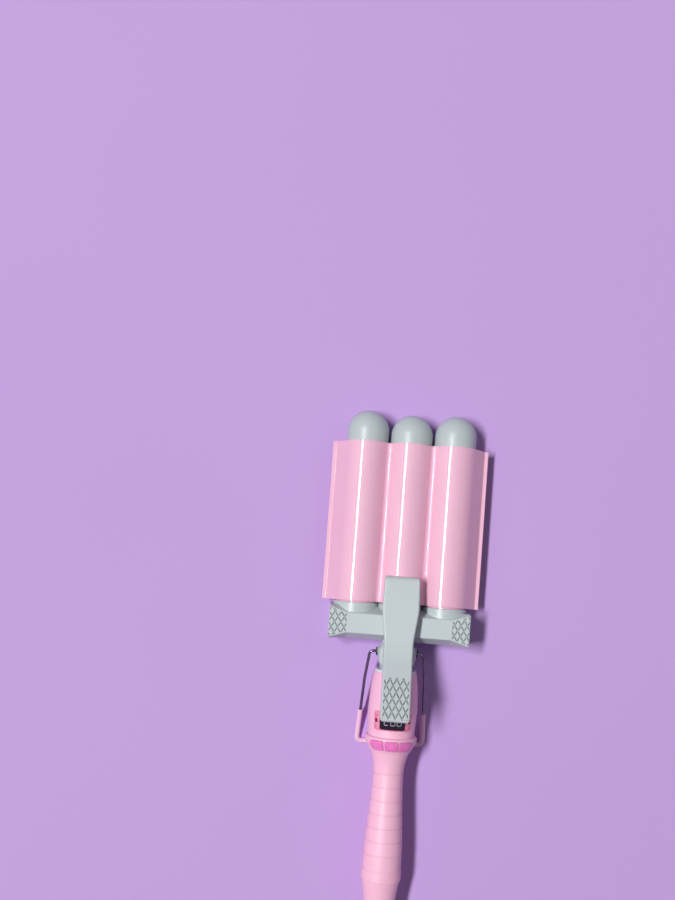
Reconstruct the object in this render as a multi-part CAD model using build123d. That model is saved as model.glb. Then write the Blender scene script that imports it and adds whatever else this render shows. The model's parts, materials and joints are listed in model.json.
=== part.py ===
from build123d import *
from math import atan, cos, degrees, hypot, radians, sin, sqrt
import os

# A three-barrel hair waver, in millimetres. +Y points to the barrel tips, +Z to the lever side.
# It lies on z = 0, on its barrels, the crossbar's flat back and the foot of its folded stand.
# Angles around the handle are in degrees from the top (+Z), positive towards +X.

# Lengths along Y, from the tips to the cord end
TIP_LENGTH = 24.5
BARREL_LENGTH = 123.0
COLLAR_LENGTH = 3.0
BAR_DEPTH = 25.0
NECK_LENGTH = 21.0
RIM_LENGTH = 2.0
BULB_LENGTH = 47.5
RING_LENGTH = 12.0
GRIP_LENGTH = 87.5
BAND_LENGTH = 8.0
CAP_LENGTH = 30.5
GLAND_LENGTH = 6.0

# Barrels
BARREL_RADIUS = 16.0
BARREL_WALL = 1.3
BARREL_PITCH = 34.0
MIDDLE_SETBACK = 1.6
TIP_WALL = 2.0
TIP_SPIGOT = 8.0
CORE_FRONT_GAP = 3.0
CORE_LENGTH = 100.0
CORE_BLOCK = (18.0, 8.0)
CORE_WEB = 4.0
HEATER_WIDTH = 15.0
HEATER_THICK = 3.2
HEATER_LENGTH = 90.0
SENSOR_RADIUS = 1.3
SENSOR_LENGTH = 9.0
SENSOR_WIRE = 0.5

# Collars and the carrier plate behind them
COLLAR_RADIUS = 17.2
COLLAR_SEAT = 5.0
COLLAR_SPIGOT = 8.0
COLLAR_SLEEVE = 13.0
COLLAR_BORE = 11.4
COLLAR_ROUND = 0.7
CARRIER_THICK = 2.0
FUSE_RADIUS = 2.2
FUSE_LENGTH = 11.0

# Crossbar and neck
BAR_WIDTH = 107.0
BAR_THICK = 34.0
BAR_CHAMFER_Y = 5.0
BAR_CHAMFER_Z = 12.0
BAR_END = 14.0
BAR_END_SHARE = 0.15
BAR_ROUND = 0.8
WALL = 2.4
NECK_RADIUS = 11.8
NECK_BULGE = 0.4
CHEEK_RADIUS = 14.7
CHEEK_END_RADIUS = 13.0
CHEEK_HEIGHT = 16.0
NECK_SPIGOT_RADIUS = 11.0
NECK_SPIGOT = 8.0
NECK_BORE = 8.6

# Screws
SCREW_RADIUS = 1.3
SCREW_HEAD_RADIUS = 2.6
SCREW_HEAD = 2.0
SCREW_GRIP = 8.0
SCREW_BITE = 7.0
SCREW_CLEARANCE = 0.2
POST_RADIUS = 3.0
POST_WALL = 1.5
BAR_SCREWS_X = (-46.0, -20.0, 20.0, 46.0)
SCREW_START = 28.0
SCREW_END = 9.5

# Handle: its axis lies this much above the barrels' axes
HANDLE_RISE = 7.2
RIM_RADIUS = 15.8
SHELL_WALL = 2.2
FRONT_WALL = 6.0
BULB_PROFILE = ((0.0, 16.3), (0.2, 17.6), (0.42, 18.4), (0.62, 18.6), (0.82, 18.0), (1.0, 17.5))
RING_SEAT = 14.6
GRIP_START = ((0.0, RING_SEAT), (0.06, 13.1), (0.12, 12.0), (0.18, 11.6))
GRIP_PROFILE = (*GRIP_START, (0.27, 11.6), (0.61, 13.3), (1.0, 14.5))
GROOVE_DEPTH = 0.25
GROOVE_WIDTH = 0.9
GROOVE_PITCH = 10.0
GROOVE_COUNT = 7
GROOVE_START = 16.0
RING_RADIUS = 19.8
RING_SHOULDER = 4.0
RING_FOOT_RADIUS = 15.3
RING_ROUND = 1.8
RING_FOOT_ROUND = 0.3
RING_SHOULDER_ROUND = 9.0
BAND_RADIUS = 15.0
BAND_SEAT = 13.4
CAP_RADIUS = 14.3
CAP_WAIST = (0.6, 11.5)
CAP_END_RADIUS = 10.2
CAP_WALL = 1.9
CAP_SPIGOT = 5.0
CAP_END_WALL = 3.0

# Buttons
BUTTON_LENGTH = 7.5
BUTTON_PROUD = 0.6
BUTTON_HALF = 15.0
SIDE_BUTTON_HALF = 17.5
BUTTON_RIB = 3.6
BUTTON_GAP = 0.2
BUTTON_LIP = 1.2
BUTTON_LIP_THICK = 1.1
BUTTON_LIP_GAP = 0.2
BUTTON_LIP_SHARE = 0.8
BUTTON_STEM = 1.4
BUTTON_TRAVEL = 0.5
BUTTON_STOP = 0.05
BUTTON_ROUND = 1.0
SIDE_BUTTON_ROUND = 3.4
SWITCH_FACE = 9.0
SWITCH_SIZE = 4.5
SWITCH_HEIGHT = 2.4
PLUNGER_RADIUS = 1.2
PLUNGER_HEIGHT = 0.8
FACET_WIDTH = 5.6
FACET_THICK = 1.5
FACET_LEG = 1.4

# Display
DISPLAY_GAP = 5.4
BEZEL_LENGTH = 14.2
BEZEL_HALF = 48.0
BEZEL_THICK = 1.4
BEZEL_PROUD = 0.25
BEZEL_ROUND = 1.5
WINDOW_LENGTH = 12.6
WINDOW_HALF = 32.0
WINDOW_LEDGE = 1.0
LENS_HALF = 3.5
LENS_LENGTH = 2.9
LENS_ANGLE = 42.0
MODULE_WIDTH = 17.0
MODULE_LENGTH = 10.0
MODULE_HEIGHT = 5.0
MODULE_TOP = 12.0
MODULE_PIN = 0.5

# Main board
BOARD_WIDTH = 20.0
BOARD_THICK = 1.6
BOARD_FRONT = 12.0
BOARD_LENGTH = 47.0
BOARD_DROP = 4.0
BOARD_POST = 2.0
LEAD_RADIUS = 0.9
LEAD_SPREAD = 3.0
LEAD_BEND = 1.5
LEAD_TURN = 1.6
LEAD_LAP = 3.0
LEAD_OFFSET = 4.0
PARTS_GAP = 2.0
PARTS_LENGTH = 10.0
CAPACITOR_RADIUS = 3.5
CAPACITOR_OFFSET = 5.5
RELAY_SPAN = (2.0, 9.0)
RELAY_HEIGHT = 6.0
CHIP_SIZE = 6.0
CHIP_HEIGHT = 1.2
SUPPLY_SPREAD = 4.0

# Clamp plate
PLATE_THICK = 1.5
PLATE_GAP = 0.5
PLATE_REACH = 0.5
PLATE_BACK_GAP = 1.5
PLATE_LEAN = 0.075
CREST_HALF = 54.0
SKIRT_LENGTH = 14.6
LIP_BEND = 1.6
LIP_LENGTH = 2.4

# Lever
LEVER_WALL = 2.0
LEVER_OVERLAP = 22.0
LEVER_HEIGHT = 5.2
LEVER_GAP = 1.6
LEVER_FRONT_HALF = 13.2
LEVER_WIDE_HALF = 14.0
LEVER_WAIST_HALF = 10.9
LEVER_PAD_HALF = 10.8
LEVER_KNEE_HEIGHT = 9.0
LEVER_TAIL = 12.0
LEVER_TAIL_HEIGHT = 6.5
PAD_REACH = 49.5
PAD_HEIGHT = 35.0
PAD_DEPTH = 8.0
PAD_RELIEF = 31.5
PAD_MARGIN = 1.6
PAD_END = 2.6
LEVER_ROUND = 1.4
LEVER_CORNERS = (2.6, 2.2)
HOLLOW_CORNERS = (0.8, 0.6)
LEVER_WAIST_PLACE = 2.0
LEVER_CURVE = 50.0
KNEE_CURVE = 70.0
LEVER_ROUNDS = (0, 4.0, KNEE_CURVE, 2.2, 2.2, 6.0, 2.5, 1.0, 0)
HOLLOW_ROUNDS = (0, 2.5, KNEE_CURVE, 1.0, 0)
BASE_THICK = 2.0
BASE_GAP = 1.5
BASE_SCREWS = (0.35, 0.78)
LEVER_SCREW = 5.0
LEVER_SCREW_HEAD = 1.0

# Hinge
HINGE_SETBACK = 4.0
HINGE_RISE = 4.0
PIN_RADIUS = 1.5
PIN_END_GAP = 0.3
LUG_INNER = 4.8
LUG_THICK = 2.4
LUG_RADIUS = 3.6
EAR_GAP = 0.2
EAR_THICK = 1.2
EAR_RADIUS = 3.3
EAR_HEIGHT = 4.0
WEB_GAP = 2.6
WEB_THICK = 1.2
WEB_SETBACK = 4.0
JOGGLE_LAP = 2.0
WEB_SCREWS = (8.0, 16.0)
RUNNING_GAP = 0.05
SADDLE_HALF = 7.0
RIVET_RADIUS = 1.6
RIVET_HEAD_RADIUS = 2.8
RIVET_HEAD = 1.0
RIVET_PLACES = (4.5, 10.0)
SPRING_WIRE = 0.5
SPRING_RADIUS = 2.2
SPRING_HALF = 3.9
SPRING_TURNS = 4.5
SPRING_LEG = 9.0
SPRING_LIFT = 0.27
SPRING_TAB = 2.0

# Diamond relief: width across and length along Y of one diamond
RELIEF_DEPTH = 0.55
RELIEF_GROOVE = 0.9
RELIEF_LEAST = 1.0
RELIEF_INSET = 1.0
BAR_DIAMOND = (4.8, 8.0)
PAD_DIAMOND = (5.0, 10.0)

# Stand
STAND_SETBACK = 8.2
STAND_RADIUS = 1.1
SLEEVE_RADIUS = 1.9
SLEEVE_LENGTH = 26.0
STAND_REACH = 75.0
STAND_KNEE = 23.0
STAND_HALVES = (20.5, 23.0, 25.5)
STAND_BENDS = (3.5, 30.0, 3.5)
STAND_TUCK = 1.0
BUSH_RADIUS = 2.4
BUSH_FLANGE_RADIUS = 3.1
BUSH_FLANGE = 1.2
BUSH_BOSS_RADIUS = 4.0

# Cord swivel
GLAND_RADIUS = 8.85
GLAND_NECK = 6.2
GLAND_FLANGE = 2.0
GLAND_FLANGE_RADIUS = 8.0
GLAND_GAP = 0.3
CORD_BORE = 3.6
SWIVEL_BUSH_WALL = 1.4
CONTACT_PIN = 1.2
CONTACT_RING = (4.4, 3.4)
CONTACT_LENGTH = 6.0
CONTACT_GAP = 0.15
BLOCK_THICK = 2.0
BLADE_WIDTH = 3.0
BLADE_THICK = 0.6

# Heights and stations that follow from the sizes above
BARREL_Z = BARREL_RADIUS
HANDLE_Z = BARREL_Z + HANDLE_RISE
HEAD_LENGTH = TIP_LENGTH + BARREL_LENGTH + COLLAR_LENGTH + BAR_DEPTH + NECK_LENGTH + RIM_LENGTH
HANDLE_LENGTH = BULB_LENGTH + RING_LENGTH + GRIP_LENGTH + BAND_LENGTH + CAP_LENGTH + GLAND_LENGTH
Y_TIP = (HEAD_LENGTH + HANDLE_LENGTH) / 2
Y_BARREL = Y_TIP - TIP_LENGTH
Y_COLLAR = Y_BARREL - BARREL_LENGTH
Y_BAR = Y_COLLAR - COLLAR_LENGTH
Y_NECK = Y_BAR - BAR_DEPTH
Y_RIM = Y_NECK - NECK_LENGTH
Y_BULB = Y_RIM - RIM_LENGTH
Y_RING = Y_BULB - BULB_LENGTH
Y_GRIP = Y_RING - RING_LENGTH
Y_BAND = Y_GRIP - GRIP_LENGTH
Y_CAP = Y_BAND - BAND_LENGTH
Y_GLAND = Y_CAP - CAP_LENGTH
Y_END = Y_GLAND - GLAND_LENGTH
Y_SEAT = Y_BAR - COLLAR_SEAT
Y_CAVITY = Y_SEAT - WALL
Y_CARRIER = Y_CAVITY - CARRIER_THICK
Y_SCREWS = Y_NECK + WALL + SCREW_HEAD_RADIUS + SCREW_CLEARANCE + POST_WALL
Y_BUTTONS = Y_RING - RING_LENGTH / 2
Y_DISPLAY = Y_RING + DISPLAY_GAP + BEZEL_LENGTH / 2
Y_BOARD = Y_BULB - BOARD_FRONT
BORE_RADIUS = BARREL_RADIUS - BARREL_WALL
HANDLE_SCREWS = (SCREW_START, GRIP_LENGTH - SCREW_END)
CREST_RADIUS = BARREL_RADIUS + PLATE_GAP + PLATE_THICK
BOARD_TOP = HANDLE_Z - BOARD_DROP
LEAD_Z = BOARD_TOP + LEAD_RADIUS
HINGE_Y = Y_NECK - HINGE_SETBACK
HINGE_Z = BAR_THICK + HINGE_RISE
WEB_Z = BAR_THICK + WEB_GAP
EAR_INNER = LUG_INNER + LUG_THICK + EAR_GAP
EAR_OUTER = EAR_INNER + EAR_THICK
PIN_HALF = LEVER_WAIST_HALF - LEVER_WALL - PIN_END_GAP
STAND_Y = Y_NECK - STAND_SETBACK
STAND_DROP = HANDLE_Z - SLEEVE_RADIUS
SIDES = (("left", -BARREL_PITCH), ("middle", 0.0), ("right", BARREL_PITCH))
SIDE_BUTTON = BUTTON_HALF + BUTTON_RIB + SIDE_BUTTON_HALF
BUTTONS = (("minus", -SIDE_BUTTON), ("power", 0.0), ("plus", SIDE_BUTTON))
FAR = 400.0


# Basic shapes


def block(x0, x1, y0, y1, z0, z1):
    """A box between two corners."""
    return Pos((x0 + x1) / 2, (y0 + y1) / 2, (z0 + z1) / 2) * Box(abs(x1 - x0), abs(y1 - y0), abs(z1 - z0))


def rod(radius, y0, y1, x=0.0, z=HANDLE_Z):
    """A cylinder along Y."""
    return Pos(x, (y0 + y1) / 2, z) * Rot(90, 0, 0) * Cylinder(radius, abs(y1 - y0))


def tube(outer, inner, y0, y1, x=0.0, z=HANDLE_Z):
    """A tube along Y."""
    return rod(outer, y0, y1, x, z) - rod(inner, y0, y1, x, z)


def cross_rod(radius, x0, x1, y, z):
    """A cylinder along X."""
    return Pos((x0 + x1) / 2, y, z) * Rot(0, 90, 0) * Cylinder(radius, abs(x1 - x0))


def post(radius, x, y, z0, z1):
    """A cylinder along Z."""
    return Pos(x, y, (z0 + z1) / 2) * Cylinder(radius, abs(z1 - z0))


def side_slab(points, x0, x1, radii=0.0):
    """A closed side outline of (y, z) points, extruded from x0 to x1."""
    outline = FilletPolyline(*points, radius=radii, close=True)
    return extrude(Plane.YZ.offset(x0) * make_face(outline), x1 - x0)


def plan_slab(points, z0, z1, radii=0.0):
    """A closed plan outline of (x, y) points, extruded from z0 to z1."""
    outline = FilletPolyline(*points, radius=radii, close=True)
    return extrude(Plane.XY.offset(z0) * make_face(outline), z1 - z0)


def turned(*lines):
    """A solid turned about the handle's axis from lines of (y, radius), which run from +Y to -Y."""
    start, end = lines[0] @ 0, lines[-1] @ 1
    closing = Polyline((end.X, end.Y), (end.X, 0), (start.X, 0), (start.X, start.Y))
    edges = [edge for line in (*lines, closing) for edge in line.edges()]
    face = Pos(0, 0, HANDLE_Z) * (Plane.YZ * make_face(edges))
    return revolve(face, Axis((0, 0, HANDLE_Z), (0, 1, 0)))


def domed(radius, centre, y0, x):
    """A rod along a barrel's axis from y0, with a half ball about centre as its +Y end."""
    side = Polyline((centre, radius), (y0, radius), (y0, 0), (centre + radius, 0))
    dome = CenterArc((centre, 0), radius, 0, 90)
    face = Pos(x, 0, BARREL_Z) * (Plane.YZ * make_face([*side.edges(), dome]))
    return revolve(face, Axis((x, 0, BARREL_Z), (0, 1, 0)))


def outward(angle):
    """The unit vector out of the handle at an angle from the top."""
    return (sin(radians(angle)), 0, cos(radians(angle)))


def sector(inner, outer, y0, y1, half, centre=0.0):
    """A piece of a tube about the handle's axis that reaches half degrees each side of centre."""
    start = Plane(origin=(0, y0, HANDLE_Z), x_dir=outward(centre), z_dir=(0, 1, 0))
    arcs = [CenterArc((0, 0), radius, -half, 2 * half) for radius in (inner, outer)]
    ends = [Line(arcs[0] @ t, arcs[1] @ t) for t in (0, 1)]
    return extrude(start * make_face([*arcs, *ends]), y1 - y0)


def facing(angle, y, distance):
    """A plane that faces out of the handle at an angle from the top, at a distance from its axis."""
    x, _, z = outward(angle)
    return Plane(origin=(x * distance, y, HANDLE_Z + z * distance), x_dir=(0, 1, 0), z_dir=(x, 0, z))


def upper(part):
    """What lies above the plane that splits the covers and shells."""
    return part & block(-FAR, FAR, -FAR, FAR, HANDLE_Z, FAR)


def lower(part):
    """What lies below the plane that splits the covers and shells."""
    return part & block(-FAR, FAR, -FAR, FAR, -FAR, HANDLE_Z)


def swept(radius, path):
    """A round bar along a path."""
    return sweep(Plane(origin=path @ 0, z_dir=path % 0) * Circle(radius), path=path)


def diamonds(outline, diamond, plane):
    """What to cut from a plane's surface, inside an outline of (x, y) points, to leave rows of diamonds."""
    across, along = diamond
    share = 1 - RELIEF_GROOVE * hypot(across, along) / (across * along)
    x, y = across / 2 * share, along / 2 * share
    shape = Polygon((x, 0), (0, y), (-x, 0), (0, -y))
    bed = make_face(Polyline(*outline, close=True))
    inner = make_face(Polyline(*outline, close=True))
    size = bed.bounding_box().size
    columns, rows = int(size.X / across) + 1, int(size.Y / along) + 1
    for row in range(-rows, rows + 1):
        for column in range(-columns, columns + 1):
            raised = Pos((column + row % 2 / 2) * across, row * along / 2) * shape & inner
            if raised is not None and raised.area > RELIEF_LEAST:
                bed -= raised
    return extrude(plane.offset(-RELIEF_DEPTH) * bed, 2 * RELIEF_DEPTH)


# Barrels


def barrel(x):
    """A coated aluminium tube."""
    return tube(BARREL_RADIUS, BORE_RADIUS, Y_COLLAR, Y_BARREL, x, BARREL_Z)


def tip(x):
    """A hollow domed cap with a spigot in its barrel's bore; the middle one is a little shorter."""
    centre = Y_TIP - BARREL_RADIUS - (0 if x else MIDDLE_SETBACK)
    root = Y_BARREL - TIP_SPIGOT
    body = domed(BARREL_RADIUS, centre, Y_BARREL, x) + rod(BORE_RADIUS, root, Y_BARREL, x, BARREL_Z)
    return body - domed(BORE_RADIUS - TIP_WALL, centre, root, x)


def heater_y():
    """Where the heater cores start and end: between the tips' and the collars' spigots."""
    front = Y_BARREL - TIP_SPIGOT - CORE_FRONT_GAP
    return front, front - CORE_LENGTH


def heater_core(x):
    """An aluminium block round the heater, with webs that carry its heat to the tube."""
    front, back = heater_y()
    width, height = CORE_BLOCK
    core = block(x - width / 2, x + width / 2, back, front, BARREL_Z - height / 2, BARREL_Z + height / 2)
    low, high = BARREL_Z - BORE_RADIUS, BARREL_Z + BORE_RADIUS
    core += block(x - CORE_WEB / 2, x + CORE_WEB / 2, back, front, low, high)
    core = core & rod(BORE_RADIUS, back, front, x, BARREL_Z)
    slot = block(
        x - HEATER_WIDTH / 2,
        x + HEATER_WIDTH / 2,
        back,
        front,
        BARREL_Z - HEATER_THICK / 2,
        BARREL_Z + HEATER_THICK / 2,
    )
    return core - slot


def heater_plate(x):
    """The ceramic heater strip in its core."""
    front, back = heater_y()
    middle = (front + back) / 2
    return Pos(x, middle, BARREL_Z) * Box(HEATER_WIDTH, HEATER_LENGTH, HEATER_THICK)


def thermistor():
    """A glass bead sensor on the side of the middle core, with its lead."""
    front, back = heater_y()
    x = CORE_BLOCK[0] / 2
    bead = rod(SENSOR_RADIUS, front - SENSOR_LENGTH, front, x + SENSOR_RADIUS, BARREL_Z)
    return bead + rod(SENSOR_WIRE, back, front - SENSOR_LENGTH, x + SENSOR_RADIUS, BARREL_Z)


def barrel_collars():
    """One heat-safe moulding: three rings, spigots in the tubes and sleeves through the crossbar's wall."""
    rings = Part() + [rod(COLLAR_RADIUS, Y_SEAT, Y_COLLAR, x, BARREL_Z) for _, x in SIDES]
    rings &= block(-FAR, FAR, -FAR, FAR, 0, FAR)
    fronts = [e for e in rings.edges() if abs((e @ 0.5).Y - Y_COLLAR) < 0.01 and (e @ 0.5).Z > 1.0]
    rings = fillet([e for e in fronts if e.geom_type == GeomType.CIRCLE], COLLAR_ROUND)
    for _, x in SIDES:
        rings += rod(BORE_RADIUS, Y_COLLAR, Y_COLLAR + COLLAR_SPIGOT, x, BARREL_Z)
        rings += rod(COLLAR_SLEEVE, Y_CARRIER, Y_SEAT, x, BARREL_Z)
    for _, x in SIDES:
        rings -= rod(COLLAR_BORE, Y_CARRIER, Y_COLLAR + COLLAR_SPIGOT, x, BARREL_Z)
    return rings


def barrel_carrier():
    """A steel plate across the crossbar that holds the collars' sleeves."""
    half = BAR_WIDTH / 2 - WALL
    plate = block(-half, half, Y_CARRIER, Y_CAVITY, WALL, BAR_THICK - WALL)
    return plate - [rod(COLLAR_SLEEVE, Y_CARRIER, Y_CAVITY, x, BARREL_Z) for _, x in SIDES]


# Crossbar and neck


def bar_face(x, share):
    """The crossbar's faceted section at x, with a share of the full chamfer."""
    y0, y1 = Y_NECK, Y_BAR
    dy, dz = BAR_CHAMFER_Y * share, BAR_CHAMFER_Z * share
    points = (
        (y1, dz),
        (y1, BAR_THICK - dz),
        (y1 - dy, BAR_THICK),
        (y0 + dy, BAR_THICK),
        (y0, BAR_THICK - dz),
        (y0, dz),
        (y0 + dy, 0),
        (y1 - dy, 0),
    )
    return Plane.YZ.offset(x) * make_face(Polyline(*points, close=True))


def bar_body():
    """The crossbar's outside: facets that fade out towards both ends."""
    half = BAR_WIDTH / 2
    inner = half - BAR_END
    body = extrude(bar_face(-inner, 1.0), 2 * inner)
    for side in (-1, 1):
        body += loft([bar_face(side * inner, 1.0), bar_face(side * half, BAR_END_SHARE)], ruled=True)
    return fillet(body.edges(), BAR_ROUND)


def bar_hollow():
    """The crossbar's inside, behind its front wall."""
    slant = hypot(BAR_CHAMFER_Y, BAR_CHAMFER_Z)
    dy = BAR_CHAMFER_Y - WALL + WALL * (slant - BAR_CHAMFER_Y) / BAR_CHAMFER_Z
    dz = BAR_CHAMFER_Z - WALL + WALL * (slant - BAR_CHAMFER_Z) / BAR_CHAMFER_Y
    y0, y1, z0, z1 = Y_NECK + WALL, Y_CAVITY, WALL, BAR_THICK - WALL
    points = ((y1, z0), (y1, z1), (y0 + dy, z1), (y0, z1 - dz), (y0, z0 + dz), (y0 + dy, z0))
    half = BAR_WIDTH / 2 - WALL
    return side_slab(points, -half, half)


def neck_body():
    """The slightly bulging neck and the spigot that the handle shells close on."""
    middle = (Y_NECK + Y_RIM) / 2
    return turned(
        Line((Y_NECK + WALL, NECK_RADIUS), (Y_NECK, NECK_RADIUS)),
        ThreePointArc((Y_NECK, NECK_RADIUS), (middle, NECK_RADIUS + NECK_BULGE), (Y_RIM, NECK_RADIUS)),
        Polyline(
            (Y_RIM, NECK_RADIUS),
            (Y_RIM, NECK_SPIGOT_RADIUS),
            (Y_RIM - NECK_SPIGOT, NECK_SPIGOT_RADIUS),
        ),
    )


def neck_cheeks():
    """The neck's round cheeks, with a flat boss on each for the stand's bush."""
    rise = CHEEK_HEIGHT / 2
    middle = (Y_NECK + Y_RIM) / 2
    side = Polyline((CHEEK_END_RADIUS, rise), (0, rise), (0, -rise), (CHEEK_END_RADIUS, -rise))
    round_side = ThreePointArc((CHEEK_END_RADIUS, -rise), (CHEEK_RADIUS, 0), (CHEEK_END_RADIUS, rise))
    face = Pos(0, middle, HANDLE_Z) * (Plane.XZ * make_face([*side.edges(), round_side]))
    cheeks = revolve(face, Axis((0, middle, HANDLE_Z), (0, 0, 1)))
    cheeks += cross_rod(BUSH_BOSS_RADIUS, -CHEEK_RADIUS, CHEEK_RADIUS, STAND_Y, HANDLE_Z)
    return cheeks & block(-FAR, FAR, Y_RIM, Y_NECK + WALL, -FAR, FAR)


def bar_relief():
    """Diamond grooves on the top and the end of both ends of the crossbar."""
    half = BAR_WIDTH / 2
    y = (Y_NECK + Y_BAR) / 2
    inner = BAR_DEPTH / 2 - BAR_CHAMFER_Y - RELIEF_INSET
    outer = BAR_DEPTH / 2 - BAR_CHAMFER_Y * BAR_END_SHARE - RELIEF_INSET
    run = BAR_END / 2 - RELIEF_INSET / 2
    high = BAR_THICK / 2 - BAR_CHAMFER_Z * BAR_END_SHARE - RELIEF_INSET / 2
    deep = BAR_DEPTH / 2 - BAR_CHAMFER_Y * BAR_END_SHARE - RELIEF_INSET / 2
    cuts = []
    for side in (-1, 1):
        top = Plane(origin=(side * (half - BAR_END / 2), y, BAR_THICK), x_dir=(side, 0, 0), z_dir=(0, 0, 1))
        end = Plane(origin=(side * half, y, BAR_THICK / 2), x_dir=(0, 0, 1), z_dir=(side, 0, 0))
        cuts.append(diamonds(((-run, -inner), (run, -outer), (run, outer), (-run, inner)), BAR_DIAMOND, top))
        cuts.append(diamonds(((-high, -deep), (high, -deep), (high, deep), (-high, deep)), BAR_DIAMOND, end))
    return cuts


def cover_body():
    """Both covers as one: crossbar and neck, hollow, with seats for the collars and bushes."""
    body = bar_body() + neck_body() + neck_cheeks() - bar_hollow()
    body -= rod(NECK_BORE, Y_RIM - NECK_SPIGOT, Y_NECK + 2 * WALL)
    for _, x in SIDES:
        body -= rod(COLLAR_RADIUS, Y_SEAT, Y_BAR + COLLAR_LENGTH, x, BARREL_Z)
        body -= rod(COLLAR_SLEEVE, Y_CAVITY, Y_BAR, x, BARREL_Z)
    body -= cross_rod(BUSH_RADIUS, -RIM_RADIUS, RIM_RADIUS, STAND_Y, HANDLE_Z)
    return body - bar_relief()


def hinge_lugs():
    """Two lugs on the neck that hold the hinge pin."""
    lugs = Part()
    for side in (-1, 1):
        x0, x1 = side * LUG_INNER, side * (LUG_INNER + LUG_THICK)
        y0, y1 = HINGE_Y - LUG_RADIUS, HINGE_Y + LUG_RADIUS
        lugs += block(x0, x1, y0, y1, HANDLE_Z + NECK_BORE, HINGE_Z)
        lugs += cross_rod(LUG_RADIUS, x0, x1, HINGE_Y, HINGE_Z)
    return lugs - cross_rod(PIN_RADIUS, -RIM_RADIUS, RIM_RADIUS, HINGE_Y, HINGE_Z)


def screw(x, y, seat, length=SCREW_GRIP + SCREW_BITE):
    """A screw driven upwards, its head below the seat."""
    head = post(SCREW_HEAD_RADIUS, x, y, seat - SCREW_HEAD, seat)
    return head + post(SCREW_RADIUS, x, y, seat, seat + length)


def upper_post(x, y, top, outside):
    """A screw post that hangs from an upper shell down to the split, and its hole."""
    body = post(POST_RADIUS, x, y, HANDLE_Z, top) & outside
    return body, post(SCREW_RADIUS, x, y, HANDLE_Z, HANDLE_Z + SCREW_BITE)


def lower_post(x, y, bottom, outside):
    """A screw post that stands on a lower shell, wide round the screw head's recess, and its hole."""
    seat = HANDLE_Z - SCREW_GRIP
    recess = SCREW_HEAD_RADIUS + SCREW_CLEARANCE
    body = post(recess + POST_WALL, x, y, bottom, seat + POST_WALL) + post(POST_RADIUS, x, y, seat, HANDLE_Z)
    return body & outside, post(recess, x, y, bottom - WALL, seat) + post(SCREW_RADIUS, x, y, seat, HANDLE_Z)


def crossbar_front_cover():
    """The upper half of crossbar and neck, with the hinge lugs."""
    outside = bar_body() & block(-FAR, FAR, -FAR, FAR, WALL / 2, BAR_THICK - WALL / 2)
    cover = upper(cover_body()) + hinge_lugs()
    for x in BAR_SCREWS_X:
        pillar, hole = upper_post(x, Y_SCREWS, BAR_THICK - WALL, outside)
        cover = cover + pillar - hole
    return cover


def crossbar_rear_cover():
    """The lower half of crossbar and neck, with the flat back that the waver lies on."""
    outside = bar_body() & block(-FAR, FAR, -FAR, FAR, WALL / 2, HANDLE_Z)
    cover = lower(cover_body())
    for x in BAR_SCREWS_X:
        pillar, hole = lower_post(x, Y_SCREWS, WALL / 2, outside)
        cover = cover + pillar - hole
    return cover


def neck_rim():
    """The light ring between the neck and the handle."""
    return tube(RIM_RADIUS, NECK_SPIGOT_RADIUS, Y_BULB, Y_RIM)


# Handle


def stations(profile, start, length, inset):
    """Points along a handle profile, which holds (share of the length, radius) pairs."""
    return [(start - share * length, radius - inset) for share, radius in profile]


def handle_solid(inset):
    """The handle from bulb to band as one solid, smaller by an inset."""
    bulb = stations(BULB_PROFILE, Y_BULB, BULB_LENGTH - inset, inset)
    grip = stations(GRIP_PROFILE, Y_GRIP, GRIP_LENGTH, inset)
    waist = RING_SEAT - inset
    tail = BAND_SEAT - inset
    return turned(
        Spline(*bulb),
        Polyline(bulb[-1], (Y_RING + inset, waist), grip[0]),
        Spline(*grip),
        Polyline(grip[-1], (Y_BAND, tail), (Y_CAP, tail)),
    )


def grip_grooves():
    """Fine grooves around the grip, all equally deep."""
    bands = Part()
    for i in range(GROOVE_COUNT):
        y = Y_GRIP - GROOVE_START - i * GROOVE_PITCH
        bands += rod(RING_RADIUS, y - GROOVE_WIDTH / 2, y + GROOVE_WIDTH / 2)
    return bands - handle_solid(GROOVE_DEPTH)


def button_bay():
    """The opening in the front shell that all three buttons work in."""
    half = BUTTON_LENGTH / 2 + BUTTON_LIP + 2 * BUTTON_GAP
    reach = SIDE_BUTTON + SIDE_BUTTON_HALF + BUTTON_RIB
    return sector(SWITCH_FACE, RING_SEAT + WALL, Y_BUTTONS - half, Y_BUTTONS + half, reach)


def shell_body():
    """Both handle shells as one: hollow, grooved, and open at the display and the buttons."""
    hollow = handle_solid(SHELL_WALL) & block(-FAR, FAR, Y_CAP, Y_BULB - FRONT_WALL, -FAR, FAR)
    body = handle_solid(0.0) - hollow - rod(NECK_SPIGOT_RADIUS, Y_BULB - FRONT_WALL, Y_BULB)
    body = body - grip_grooves() - button_bay() - bezel_blank()
    ledge = degrees(WINDOW_LEDGE / RING_SEAT)
    half = WINDOW_LENGTH / 2 - WINDOW_LEDGE
    return body - sector(SWITCH_FACE, RING_RADIUS, Y_DISPLAY - half, Y_DISPLAY + half, WINDOW_HALF - ledge)


def board_posts():
    """Where the four posts under the main board stand."""
    x = BOARD_WIDTH / 2 - BOARD_POST
    ends = (Y_BOARD - BOARD_POST, Y_BOARD - BOARD_LENGTH + BOARD_POST)
    return [(side * x, y) for side in (-1, 1) for y in ends]


def handle_front_shell():
    """The upper handle shell."""
    shell = upper(shell_body())
    outside = handle_solid(SHELL_WALL / 2)
    for distance in HANDLE_SCREWS:
        pillar, hole = upper_post(0, Y_GRIP - distance, HANDLE_Z + RING_SEAT, outside)
        shell = shell + pillar - hole
    return shell


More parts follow.
